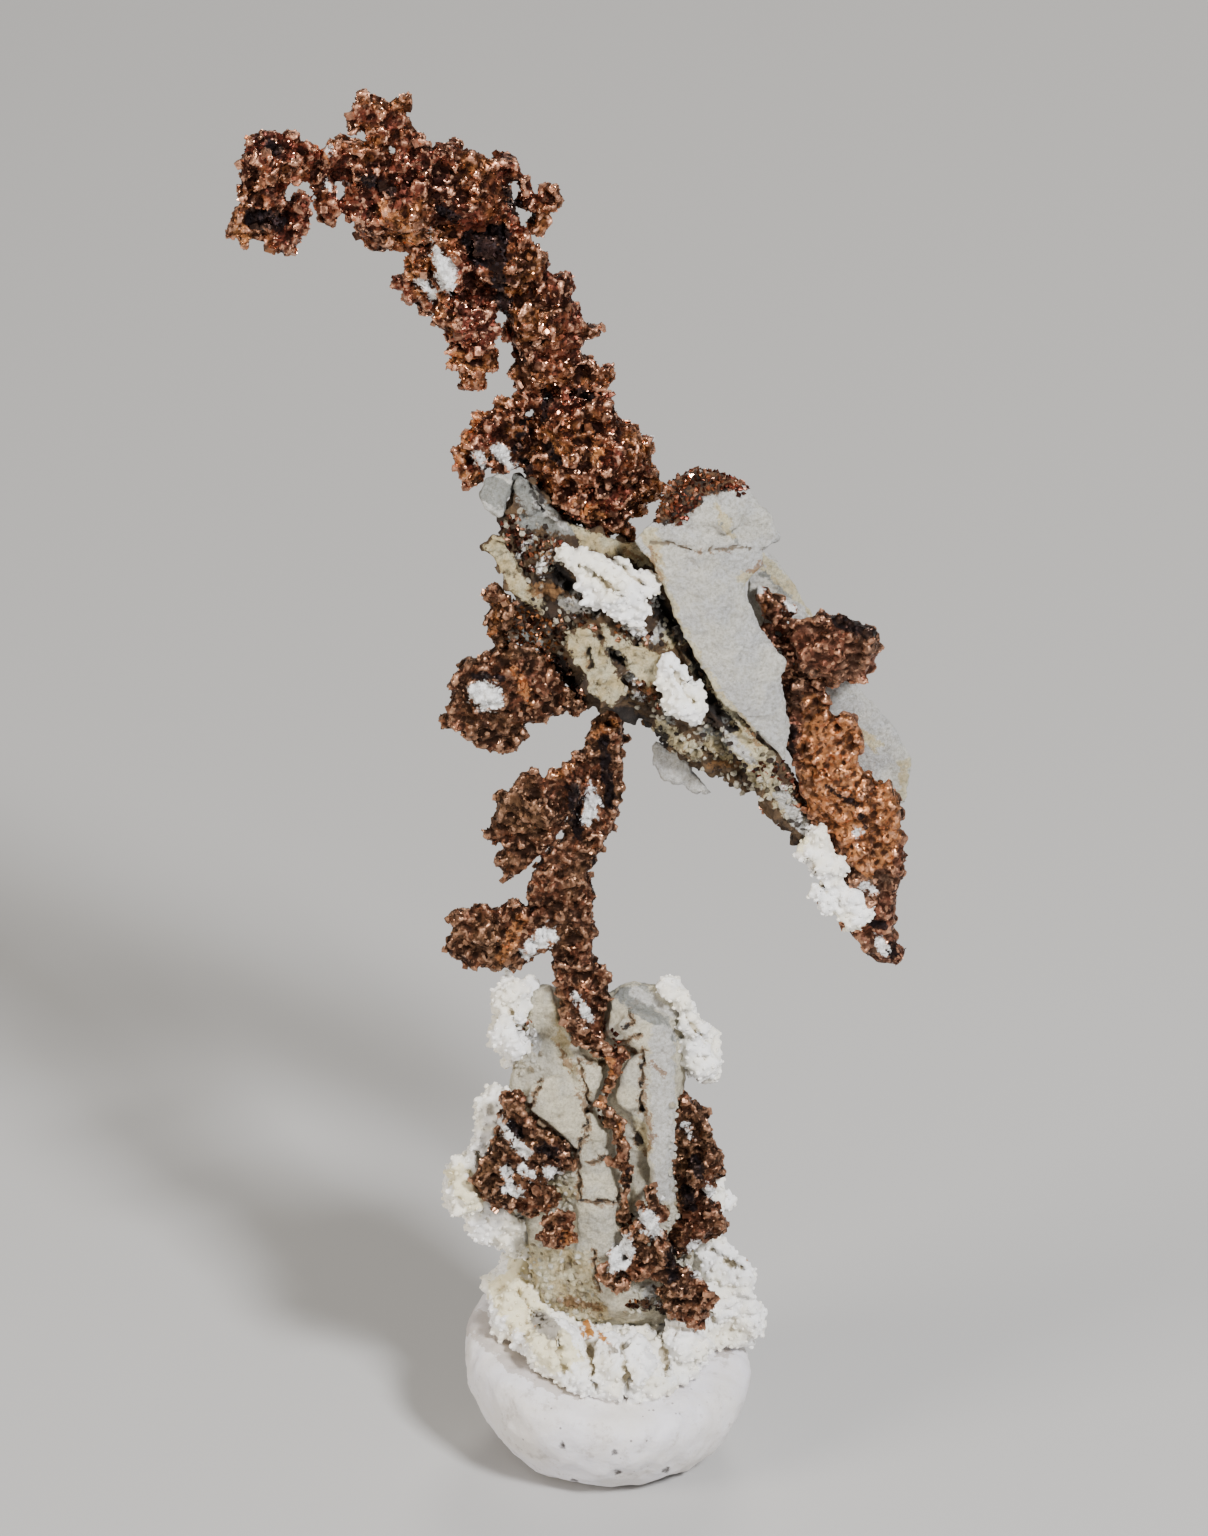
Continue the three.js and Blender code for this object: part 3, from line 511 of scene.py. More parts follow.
def copper(name, bright, middle, other, dark, polish):
    material, tree, shader, where = new_finish(name)
    fine, wide = attribute(tree, "hollow"), attribute(tree, "basin")
    size = {"Size": 1 / (FACET * MM)}
    facets = add(tree, "ShaderNodeGroup", size, node_tree=FACETS).outputs
    own = attribute(tree, "tone")
    is_crystal = span(tree, own, 0.0, FAINTEST / 2)
    tone = blend(tree, is_crystal, facets["Chance"], own)
    grain = cloud(tree, where, 0.3, 3.0)

    body = lay(tree, middle, other, cloud(tree, where, 3.2), 0.40, 0.62)
    # Painted warm light: orange laid over the copper in the drawn patches where light falls warm.
    painted_light_colour = blend(tree, cloud(tree, where, 0.6), (0.66, 0.22, 0.09), (0.74, 0.36, 0.13))
    body = lay(tree, body, painted_light_colour, patch(tree, "glow", 1.6, 0.8), most=0.8)
    # Painted shade: dark clouds laid over the copper by noise.
    body = lay(tree, body, dark, cloud(tree, where, 1.5, 5.0, 0.7), 0.47, 0.60, 0.85)
    colour = lay(tree, body, dark, tone, 0.50, 0.08, 0.85)
    colour = lay(tree, colour, bright, tone, 0.78, 1.0, 0.9)
    edge = maths(tree, "MULTIPLY_ADD", grain, -0.08, fine)
    colour = lay(tree, colour, bright, edge, -0.06, -0.14, 0.7)
    colour = lay(tree, colour, dark, fine, -0.01, 0.07, 0.9)
    # Painted shade darkens the wide hollows.
    colour = lay(tree, colour, dark, wide, 0.0, 0.30, 0.9)
    # Painted shade: near black in the dark holes and creases drawn for it.
    colour = lay(tree, colour, (0.014, 0.011, 0.012), patch(tree, "dirt_and_shade", 1.2, 0.6), most=0.93)
    chalk = patch(tree, "chalk", 1.3, 0.35)
    powder = lay(tree, (0.46, 0.45, 0.43), (0.84, 0.84, 0.83), grain, 0.35, 0.65)
    tree.links.new(blend(tree, chalk, colour, powder), shader.inputs["Base Color"])
    tree.links.new(span(tree, chalk, 0.0, 1.0, 1.0, 0.0), shader.inputs["Metallic"])

    rough = span(tree, tone, 0.5, 0.9, 0.55, polish)
    rough = lay(tree, rough, (0.8, 0.8, 0.8), fine, 0.0, 0.08)
    rough = blend(tree, chalk, rough, (0.95, 0.95, 0.95))
    tree.links.new(rough, shader.inputs["Roughness"])
    hackly = bump(tree, facets["Height"], 0.7, 1 / MM)
    tree.links.new(bump(tree, grain, 0.5, 0.04, Normal=hackly), shader.inputs["Normal"])
    return material


TOP_COPPER = copper(
    "Top copper",
    bright=(0.88, 0.47, 0.30),
    middle=(0.18, 0.048, 0.030),
    other=(0.25, 0.100, 0.036),
    dark=(0.022, 0.009, 0.007),
    polish=0.18,
)
STEM_COPPER = copper(
    "Stem copper",
    bright=(0.63, 0.35, 0.215),
    middle=(0.15, 0.056, 0.032),
    other=(0.17, 0.090, 0.048),
    dark=(0.025, 0.013, 0.009),
    polish=0.28,
)
BAND_COPPER = copper(
    "Band copper",
    bright=(0.82, 0.43, 0.26),
    middle=(0.22, 0.082, 0.050),
    other=(0.20, 0.125, 0.085),
    dark=(0.04, 0.018, 0.012),
    polish=0.3,
)

# %% [markdown]
# ## Rock, crust and putty
# The rock is a fine-grained pale stone that has rusted brown along its cracks. Where the copper
# grew through it, it is dark rubble. Its hollows are darkened as painted shade. The crust is white
# and granular, with painted shade in ochre in its hollows. Neither shines. The putty is smoother,
# a little uneven, and has picked up dust and dark specks from handling. A painted shadow of the
# foot lies on its top.


# %% The rock finish
def stone(
    name,
    light,
    grey,
    stain,
    painted_shade_colour,
    grain_dark,
    grain_light,
    grain_mm=0.35,
    speckle=0.5,
    dust=0.35,
):
    material, tree, shader, where = new_finish(name)
    fine, wide = attribute(tree, "hollow"), attribute(tree, "basin")
    own = attribute(tree, "tone")
    grains = cloud(tree, where, grain_mm, 5.0, 0.75)

    colour = lay(tree, grey, light, cloud(tree, where, 2.2, 6.0), 0.40, 0.60)
    # Grey patches: grey stone, and on the lower block a painted shadow.
    grey_stone_and_shadow = blend(tree, grains, (0.24, 0.25, 0.23), (0.52, 0.53, 0.50))
    colour = blend(tree, patch(tree, "grey", 1.6, 0.9), colour, grey_stone_and_shadow)
    yellow, pale_yellow = (0.76, 0.61, 0.32), (0.91, 0.84, 0.58)
    cream = lay(tree, yellow, pale_yellow, cloud(tree, where, 0.9), 0.35, 0.65)
    colour = lay(tree, colour, cream, patch(tree, "cream", 1.5, 0.5), most=0.9)
    # White chalk patches; on the flake the same mark is painted light.
    colour = blend(tree, patch(tree, "chalk", 1.2, 0.7), colour, (0.82, 0.81, 0.78))
    loose = lay(tree, grain_dark, colour, own, 0.10, 0.35)
    loose = lay(tree, loose, grain_light, own, 0.50, 0.90)
    colour = blend(tree, span(tree, own, 0.0, FAINTEST / 2), colour, loose)
    colour = lay(tree, colour, stain, grains, 0.52, 0.68, speckle)
    pale = cloud(tree, where, grain_mm * 0.7, 5.0, 0.75)
    colour = lay(tree, colour, (0.80, 0.78, 0.70), pale, 0.56, 0.70, dust)

    rust = blend(tree, cloud(tree, where, 0.3), (0.20, 0.075, 0.02), (0.46, 0.24, 0.08))
    colour = lay(tree, colour, rust, patch(tree, "rust", 1.1, 0.22), most=0.75)
    black, brown = (0.015, 0.009, 0.006), (0.20, 0.095, 0.04)
    earth = lay(tree, black, brown, cloud(tree, where, 0.6, 6.0, 0.8), 0.42, 0.60)
    colour = blend(tree, patch(tree, "mud_and_shadow", 1.6, 0.7), colour, earth)
    flecks = cloud(tree, where, 0.18, 6.0, 0.8)
    fleck = lay(tree, (0.66, 0.64, 0.58), (1, 1, 1), flecks, 0.36, 0.60)
    colour = blend(tree, 1.0, colour, fleck, "MULTIPLY")
    # Painted shade in the small and the wide hollows.
    colour = lay(tree, colour, painted_shade_colour, fine, 0.01, 0.08, 0.85)
    colour = lay(tree, colour, painted_shade_colour, wide, 0.10, 0.45, 0.5)
    # Painted shade: near black in the drawn dark patches, in cracks and between plates.
    colour = lay(tree, colour, (0.015, 0.010, 0.008), patch(tree, "dirt_and_shade", 0.9, 0.5), most=0.95)
    tree.links.new(colour, shader.inputs["Base Color"])
    tree.links.new(span(tree, grains, 0.3, 0.7, 0.75, 0.95), shader.inputs["Roughness"])
    grit = cloud(tree, where, 0.2, 6.0, 0.8)
    tree.links.new(bump(tree, grit, 1.0, 0.3), shader.inputs["Normal"])
    return material


PALE_STONE = stone(
    "Pale stone",
    light=(0.91, 0.84, 0.64),
    grey=(0.78, 0.745, 0.63),
    stain=(0.46, 0.42, 0.32),
    painted_shade_colour=(0.13, 0.075, 0.035),
    grain_dark=(0.40, 0.33, 0.22),
    grain_light=(0.88, 0.85, 0.74),
)
SHEET_STONE = stone(
    "Sheet stone",
    light=(0.84, 0.82, 0.74),
    grey=(0.74, 0.74, 0.73),
    stain=(0.38, 0.38, 0.36),
    painted_shade_colour=(0.22, 0.17, 0.11),
    grain_dark=(0.22, 0.20, 0.17),
    grain_light=(0.74, 0.73, 0.70),
    grain_mm=0.25,
    speckle=0.6,
    dust=0.6,
)
RUBBLE = stone(
    "Rubble",
    light=(0.17, 0.10, 0.045),
    grey=(0.055, 0.030, 0.016),
    stain=(0.05, 0.025, 0.012),
    painted_shade_colour=(0.018, 0.010, 0.006),
    grain_dark=(0.03, 0.016, 0.009),
    grain_light=(0.86, 0.80, 0.64),
    grain_mm=0.4,
    speckle=0.8,
    dust=0.1,
)


# %% The crust finish
def crust():
    material, tree, shader, where = new_finish("White crust")
    fine, wide = attribute(tree, "hollow"), attribute(tree, "basin")
    painted_shade_ochre = (0.46, 0.39, 0.26)
    white, cream = (0.92, 0.91, 0.89), (0.90, 0.86, 0.74)
    colour = lay(tree, white, cream, cloud(tree, where, 2.4), 0.42, 0.62)
    colour = blend(tree, patch(tree, "cream", 2.0, 1.2), colour, (0.84, 0.77, 0.54))
    # Painted shade: ochre in the small and the wide hollows.
    colour = lay(tree, colour, painted_shade_ochre, fine, 0.02, 0.10, 0.65)
    colour = lay(tree, colour, painted_shade_ochre, wide, 0.08, 0.40, 0.65)
    rust = blend(tree, cloud(tree, where, 0.5), (0.26, 0.09, 0.02), (0.60, 0.28, 0.06))
    colour = blend(tree, patch(tree, "rust", 1.2, 0.6), colour, rust)
    colour = blend(tree, patch(tree, "grey", 0.8, 0.6), colour, (0.34, 0.31, 0.26))
    tree.links.new(colour, shader.inputs["Base Color"])
    shader.inputs["Roughness"].default_value = 0.85
    grit = cloud(tree, where, 0.2, 4.0, 0.7)
    tree.links.new(bump(tree, grit, 0.7, 0.07), shader.inputs["Normal"])
    return material


WHITE_CRUST = crust()


# %% The putty finish
def putty():
    material, tree, shader, where = new_finish("White putty")
    cool, warm = (0.80, 0.78, 0.82), (0.75, 0.71, 0.67)
    colour = lay(tree, cool, warm, cloud(tree, where, 3.5), 0.35, 0.7)
    smudge = cloud(tree, where, 1.1, 6.0, 0.8)
    colour = lay(tree, colour, (0.36, 0.31, 0.26), smudge, 0.52, 0.68, 0.5)
    # Painted shadow of the foot: brownish grey where the mud strokes lie on the putty's top.
    colour = lay(tree, colour, (0.34, 0.28, 0.22), patch(tree, "mud_and_shadow", 3.0, 1.4), most=0.55)
    dots = add(tree, "ShaderNodeTexVoronoi", {"Vector": where, "Scale": 1 / (0.55 * MM)})
    dot = span(tree, dots.outputs["Distance"], 0.16, 0.09)
    some = span(tree, cloud(tree, where, 2.4), 0.52, 0.60)
    colour = lay(tree, colour, (0.10, 0.08, 0.07), maths(tree, "MULTIPLY", dot, some), most=0.7)
    colour = blend(tree, patch(tree, "dirt_and_shade", 0.3, 0.25), colour, (0.05, 0.04, 0.035))
    tree.links.new(colour, shader.inputs["Base Color"])
    shader.inputs["Roughness"].default_value = 0.6
    shader.inputs["Subsurface Weight"].default_value = 0.1
    shader.inputs["Subsurface Radius"].default_value = (0.8 * MM, 0.7 * MM, 0.6 * MM)
    shader.inputs["Subsurface Scale"].default_value = 1.0
    dents = cloud(tree, where, 0.4, 5.0)
    tree.links.new(bump(tree, dents, 0.6, 0.10), shader.inputs["Normal"])
    return material


WHITE_PUTTY = putty()


# %% [markdown]
# ## Finishing a piece
# Every piece ends the same way: its modifiers are worked in, cracks are pressed into it, its
# hollows are measured and its patches drawn, and the last small crystals are set on it, which
# take over those measures from the skin they sit on. It shrinks from millimetres to metres, takes
# its finish and stands for its solids.

# %% The last steps of every piece
# Some marks are painted light: the orange glow is painted warm light, and the dark patches, the grey shape
# on the lower block and the mud on the putty are painted shade.
MARKS = ("chalk", "dirt_and_shade", "rust", "mud_and_shadow", "cream", "grey", "glow", "bare", "loose")


def finish(form, name, nodes, material, slot, marks=None, cracks=(), grains=(), rounds=(5, 50)):
    """The form as a finished piece. Its small hollows are measured against the skin smoothed
    rounds[0] times, and its wide ones against the skin smoothed rounds[1] times."""
    piece = applied(form, name)
    for drawing, depth in cracks:
        carve(piece, drawing, depth)
    depths = [hollows(piece, count) for count in rounds]
    store(piece, "hollow", depths[0])
    store(piece, "basin", depths[1])
    for number, label in enumerate(MARKS):
        drawing = (marks or {}).get(label, [])
        seed = number if drawing and slot != "putty" else None
        store(piece, label, inside(piece, drawing, seed))
    for grain in grains:
        cover(piece, *grain)
    if grains:
        piece = applied(piece, name)
    return dress(piece, name, nodes, material)


def dress(piece, name, nodes, material):
    """Brings a piece in mm to its real size, gives it its finish, and sets it for its nodes."""
    piece.data.transform(Matrix.Scale(MM, 4))
    piece.data.materials.clear()
    piece.data.materials.append(material)
    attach(piece, "root")
    if nodes:
        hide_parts(*nodes)
    piece.data.calc_loop_triangles()
    print(name, len(piece.data.loop_triangles), "triangles")
    return piece


# %% [markdown]
# ## The copper
# The top growth hangs over to the left and ends in a hook. The stem carries the upper block, and
# the band runs down the wing. Copper grew in blocky crystals of every size: the large ones are
# fused into the form, and the smallest stay whole, with crisp faces that catch the light.

# %% Growing copper
FINE = 0.14  # the size of a fused skin's faces, in mm


def copper_piece(
    name,
    nodes,
    material,
    seed,
    marks,
    shrink=-0.32,
    large=(0.75, 0.35, 1.2),
    small=(0.25, 0.08, 0.26),
    worn=2,
    pits=0.2,
):
    """Copper over CAD solids: large crystals this far apart and in this range of size, fused, and
    small ones whole on top."""
    form = form_of(*nodes, swell=shrink)
    cover(form, BLOCKS, large[0], large[1:], seed)
    fuse(form, FINE)
    soften(form, 0.5, worn)
    roughen(form, "VORONOI", 0.45, pits)
    roughen(form, "CLOUDS", 0.3, 0.16)
    apart, least, most = small
    rarer, larger = 5, 1.8  # the whole cubes, beside the eight-sided crystals
    grains = [
        (SHARDS, apart, (least, most), seed + 50),
        (BLOCKS, apart * rarer, (least * larger, most * larger), seed + 70),
    ]
    return finish(form, name, nodes, material, "copper", marks, grains=grains)


# %% The top growth
TOP = ["copper_" + part for part in ("arm", "crest", "hook", "curl", "column", "tongue")]
TOP_MARKS = {
    "chalk": [
        [(-8.65, 61.0), (-8.5, 60.4), (-8.05, 59.95), (-7.45, 59.4), (-7.55, 58.15), (-8.2, 58.25),
         (-8.6, 59.9)],
        (-9.2, 58.6, -8.5, 58.0, 0.22), (-13.6, 64.9, -13.6, 64.6, 0.12), (-13.6, 63.3, -13.6, 63.1, 0.12),
        [(-5.75, 50.7), (-5.1, 50.7), (-4.75, 50.05), (-4.35, 49.4), (-4.85, 49.5), (-5.4, 50.1)],
        (-6.4, 50.2, -6.2, 49.8, 0.18),
    ],
    # Painted shade in dark holes and creases.
    "dirt_and_shade": [
        (-6.6, 60.6, -5.2, 60.9, 0.5), (-6.2, 60.1, -5.6, 59.8, 0.7), (-5.4, 58.9, -5.0, 57.2, 0.3),
        (-8.0, 62.0, -7.5, 61.7, 0.3), (-11.8, 63.4, -10.6, 62.9, 0.3), (-16.4, 65.0, -16.1, 64.8, 0.3),
        (-17.2, 61.6, -16.2, 61.4, 0.5), (-4.9, 63.1, -4.5, 62.4, 0.25), (-4.4, 62.0, -3.8, 61.7, 0.25),
        (-3.9, 52.3, -4.6, 50.4, 0.12), (-3.2, 51.0, -2.4, 49.9, 0.2), (-3.0, 53.0, -3.2, 52.0, 0.2),
        (-1.5, 53.2, -1.0, 53.1, 0.3), (-4.4, 50.2, -3.9, 49.5, 0.25),
    ],
    # Painted warm light on lit lumps and edges.
    "glow": [
        (-18.3, 61.6, -18.0, 60.9, 0.4), (-17.8, 65.6, -16.6, 66.2, 0.3), (-14.3, 65.9, -13.7, 64.6, 0.3),
        (-9.9, 59.6, -9.6, 58.8, 0.3), (-7.8, 57.0, -7.7, 56.2, 0.25), (-7.6, 55.1, -6.2, 54.4, 0.3),
        (-7.3, 50.0, -7.1, 51.2, 0.35), (-6.9, 51.6, -6.2, 52.3, 0.3), (-7.0, 49.2, -6.5, 49.1, 0.3),
        (-1.5, 47.8, -0.3, 47.2, 0.3), (-2.0, 50.4, -0.6, 50.0, 0.3), (-11.0, 62.0, -9.3, 60.6, 0.3),
    ],
}
copper_piece("top_growth", TOP, TOP_COPPER, 3, TOP_MARKS)
NECK = ["copper_neck", "copper_neck_lobe"]
copper_piece("neck", NECK, TOP_COPPER, 4, TOP_MARKS)

# %% The stem
STEM_MARKS = {
    "chalk": [
        [(-3.05, 27.0), (-2.6, 26.7), (-2.55, 26.1), (-3.35, 25.85), (-4.15, 25.05), (-4.25, 25.85),
         (-3.85, 26.3)],
        [(-0.95, 34.0), (-1.35, 32.35), (-0.95, 31.75), (-0.45, 32.65), (-0.45, 33.45)],
        (-1.6, 23.4, -0.9, 22.3, 0.2),
    ],
    "dirt_and_shade": [(-1.8, 34.0, -1.5, 31.6, 0.3), (-0.3, 36.5, 0.2, 33.0, 0.25), (-0.6, 30, -0.4, 27, 0.25)],
    # Painted warm light on lit lumps and edges.
    "glow": [(-5.3, 25.4, -4.4, 27.2, 0.35), (-3.0, 34.4, -1.8, 35.0, 0.25), (-0.6, 36.6, 0.2, 37.0, 0.4)],
}
STEM = ["copper_stem", "copper_stem_leaf", "copper_stem_spur"]
thin = {"shrink": -0.12, "large": (0.6, 0.25, 0.8), "small": (0.28, 0.06, 0.2), "worn": 5}
copper_piece("stem", STEM, STEM_COPPER, 5, STEM_MARKS, **thin)

# %% The band on the wing
BAND_MARKS = {
    # Painted warm light on lit parts and glints of the band.
    "glow": [
        [(9.8, 38.8), (11.0, 38.4), (12.9, 36.8), (12.6, 35.4), (14.4, 33.8), (14.6, 31.6), (14.2, 30.0),
         (12.8, 29.4), (11.4, 31.2), (9.8, 32.8), (9.6, 36.0)],
        (7.6, 43.2, 7.4, 42.2, 0.3),
    ],
    # Painted shade in dark creases.
    "dirt_and_shade": [
        (10.8, 34.0, 12.4, 33.0, 0.12), (12.4, 33.0, 12.9, 31.9, 0.1), (11.4, 42.2, 13.0, 41.6, 0.35),
        (12.9, 27.4, 13.6, 27.0, 0.3), (14.2, 25.8, 14.4, 25.4, 0.25), (9.2, 36.8, 9.0, 35.2, 0.25),
    ],
    "chalk": [
        (7.3, 43.8, 8.2, 44.2, 0.25), (8.9, 43.0, 9.3, 42.7, 0.15), (12.4, 31.7, 12.5, 31.5, 0.2),
        (13.6, 26.2, 13.9, 25.6, 0.22), (12.8, 29.0, 13.4, 28.7, 0.15), (10.9, 29.0, 11.9, 28.6, 0.25),
        (12.2, 27.9, 12.6, 27.7, 0.2),
    ],
}
BAND = ["copper_band", "copper_knob"]
flat = {"shrink": -0.1, "large": (0.85, 0.3, 0.8), "small": (0.45, 0.06, 0.2), "worn": 10}
copper_piece("band", BAND, BAND_COPPER, 7, BAND_MARKS, pits=0.22, **flat)

# %% The lobe on the left
LOBE_MARKS = {
    "chalk": [
        [(-6.85, 39.0), (-6.1, 39.2), (-5.35, 38.85), (-5.05, 38.25), (-5.5, 37.75), (-6.35, 37.75),
         (-6.85, 38.25)]
    ],
    "dirt_and_shade": [(-6.7, 39.4, -5.2, 39.3, 0.15)],
    # Painted warm light on lit lumps and edges.
    "glow": [(-4.6, 39.6, -4.0, 38.2, 0.3), (-5.4, 42.8, -5.8, 41.6, 0.25)],
}
LOBE = ["copper_left_lobe", "copper_left_knob"]
rounded = {"shrink": -0.16, "large": (0.7, 0.25, 0.9), "small": (0.28, 0.06, 0.22), "worn": 5}
copper_piece("left_lobe", LOBE, STEM_COPPER, 11, LOBE_MARKS, **rounded)

# %% Copper on the lower block
LOWER_COPPER = {
    # Painted warm light on lit lumps and edges.
    "glow": [(0.0, 20.0, -0.2, 18.0, 0.3), (0.5, 17.0, 0.9, 16.2, 0.3), (-2.2, 11.2, -1.8, 10.8, 0.3)],
    "chalk": [
        [(0.3, 11.0), (1.0, 11.2), (1.3, 10.3), (0.9, 9.2), (0.1, 9.3), (-0.1, 10.0)],
        (-5.2, 14.6, -4.9, 13.4, 0.2), (-4.3, 14.6, -3.9, 14.3, 0.25), (-4.6, 15.9, -4.1, 15.4, 0.25),
        (-5.5, 17.0, -5.0, 16.3, 0.2), (-3.1, 14.4, -2.3, 14.0, 0.3), (-2.2, 16.7, -1.8, 16.3, 0.15),
        (-5.3, 13.5, -4.5, 13.3, 0.2), (5.1, 13.5, 5.6, 13.0, 0.2), (3.9, 16.8, 4.2, 16.2, 0.15),
        (-1.6, 23.4, -0.9, 22.0, 0.25), (1.9, 12.1, 2.4, 11.4, 0.4), (4.3, 10.4, 4.6, 9.4, 0.4),
    ],
    "dirt_and_shade": [
        (-4.9, 16.8, -4.6, 16.4, 0.3), (-3.6, 15.6, -2.6, 15.4, 0.25), (4.3, 15.0, 4.6, 14.2, 0.3),
        (4.0, 13.4, 4.2, 12.6, 0.35), (3.2, 10.2, 3.3, 9.0, 0.3), (1.1, 15.0, 1.0, 13.8, 0.12),
    ],
}
LOWER_NODES = ("cluster_left", "cluster_low", "cluster_right", "cluster_foot", "vein")
for number, node in enumerate(LOWER_NODES):
    shrink, most = (-0.38, 0.7) if node == "vein" else (-0.25, 0.9)
    settings = {"shrink": shrink, "large": (0.6, 0.25, most)}
    copper_piece(node, ["copper_" + node], STEM_COPPER, 13 + number, LOWER_COPPER, **settings)

# %% [markdown]
# ## The rock
# Two blocks of the same pale stone. The lower one is split into flat plates with dark cracks, and
# stained along them. The upper one is rubble, dark with copper and rust between cream plates, and
# thin sheets of grey stone stand on it like a wing. Small grains lie on both blocks in the places
# named loose, and copper crystals stand out of the rock in the places named bare.

# %% Growing rock
COARSE = 0.12  # the size of a fused skin's faces, in mm


def rock_piece(
    name,
    nodes,
    material,
    seed,
    swell=0.12,
    relief=0.2,
    worn=0,
    edges=0.0,
    rubble=None,
    marks=None,
    cracks=(),
):
    """Rock over CAD solids: rubble is blocks on it, this far apart and in this range of size, worn
    is how often it is softened, and edges is how many mm its outline frays."""
    form = form_of(*nodes, swell=swell)
    if rubble:
        cover(form, BLOCKS, rubble[0], rubble[1:], seed)
    fuse(form, COARSE)
    if worn:
        soften(form, 0.7, worn)
    if edges:
        fray(form, 0.9, edges)
        fray(form, 0.35, edges * 0.5)
    roughen(form, "CLOUDS", 1.6, relief)
    roughen(form, "VORONOI", 0.9, relief * 0.6)
    roughen(form, "CLOUDS", 0.3, 0.16)
    grains = [(GEMS, 0.36, (0.14, 0.5), seed + 20, "loose")]
    return finish(form, name, nodes, material, "rock", marks, cracks, grains, (4, 30))


def rock_copper(piece, name, seed, apart=0.24):
    """Copper crystals on a rock piece, where its mark named bare lies."""
    holder = put_in(name, piece.data.copy())
    holder.data.transform(Matrix.Scale(1 / MM, 4))
    cover(holder, LOOSE_SHARDS, apart, (0.15, 0.5), seed, where="bare")
    dress(applied(holder, name), name, [], TOP_COPPER)


# %% The lower block
LOWER_MARKS = {
    "chalk": [
        (2.7, 21.4, 2.9, 13.4, 0.6), (1.4, 23.6, 3.2, 22.6, 0.3), (-3.9, 21.4, -3.6, 20.6, 0.3),
        (0.6, 10.6, 1.0, 9.4, 0.3), (2.2, 8.2, 2.3, 7.8, 0.4),
    ],
    "cream": [
        (-2.5, 22.8, -2.2, 21.0, 0.3), (-2.4, 21.2, -1.8, 19.6, 0.25), (-3.2, 14.2, -2.0, 13.4, 0.5),
        [(-4.2, 10.6), (-1.0, 10.4), (-0.6, 8.4), (0.2, 6.6), (-3.8, 6.4)],
        (1.5, 17.0, 1.9, 15.6, 0.3), (1.6, 9.8, 2.2, 9.4, 0.3),
    ],
    # The grey shape at the top right is a painted shadow.
    "grey": [[(0.2, 23.7), (1.8, 24.0), (2.6, 22.7), (3.6, 21.2), (3.2, 20.9), (2.2, 22.0), (1.0, 22.7)]],
    "rust": [
        (-1.6, 18.6, -1.0, 17.4, 0.14), (-1.0, 17.4, -1.5, 15.6, 0.08), (1.7, 20.6, 1.9, 17.4, 0.1),
        (2.0, 17.3, 2.3, 16.2, 0.14), (2.3, 16.2, 1.9, 15.3, 0.12), (0.6, 12.8, 0.8, 11.2, 0.1),
        (-1.6, 15.2, -1.3, 13.2, 0.1), (2.2, 20.0, 2.8, 19.4, 0.14), (-2.2, 7.7, -0.5, 7.3, 0.25),
        (0.6, 21.0, 1.4, 20.5, 0.14), (-2.5, 20.8, -1.8, 19.6, 0.12), (1.2, 9.4, 2.4, 8.9, 0.14),
    ],
    "mud_and_shadow": [(-2.6, 15.4, -1.8, 15.0, 0.2), (1.4, 7.6, 3.4, 7.2, 0.25), (2.8, 10.8, 2.8, 9.4, 0.25)],
    "bare": [
        (-4.2, 22.0, -3.9, 21.4, 0.25), (2.2, 13.4, 2.6, 12.5, 0.3), (1.2, 11.9, 1.5, 11.5, 0.15),
        (0.9, 7.6, 2.6, 7.4, 0.15), (0.3, 21.6, 0.6, 20.6, 0.15), (-1.9, 15.6, -2.6, 16.0, 0.12),
        (-0.6, 17.9, -0.2, 16.9, 0.15),
    ],
    # Painted shade inside the cracks.
    "dirt_and_shade": [
        (1.45, 16.2, 1.5, 15.9, 0.2), (-0.4, 15.05, 0.0, 15.1, 0.08), (-1.0, 17.4, -1.5, 15.5, 0.05),
        (1.72, 20.4, 1.68, 17.6, 0.06), (1.1, 22.6, 1.2, 22.1, 0.06), (1.2, 22.1, 0.8, 21.7, 0.06),
        (-1.4, 12.95, 0.2, 12.8, 0.04), (0.62, 13.2, 0.75, 11.6, 0.07),
    ],
    "loose": [
        [(-4.3, 10.8), (-1.2, 10.4), (-0.8, 8.4), (0.2, 6.5), (-4.2, 6.2)],
        [(-4.6, 15.2), (-3.4, 14.8), (-1.8, 14.6), (-1.6, 12.6), (-4.6, 12.0)],
        [(-4.4, 22.6), (-3.5, 22.4), (-3.3, 21.0), (-3.2, 19.4), (-4.8, 19.4)],
        [(2.0, 12.4), (3.6, 12.8), (4.4, 10.4), (2.8, 7.2), (0.8, 7.0), (1.4, 9.6)],
        (3.4, 17.6, 3.5, 13.6, 0.35), (-2.6, 20.9, -1.8, 19.7, 0.12),
    ],
}
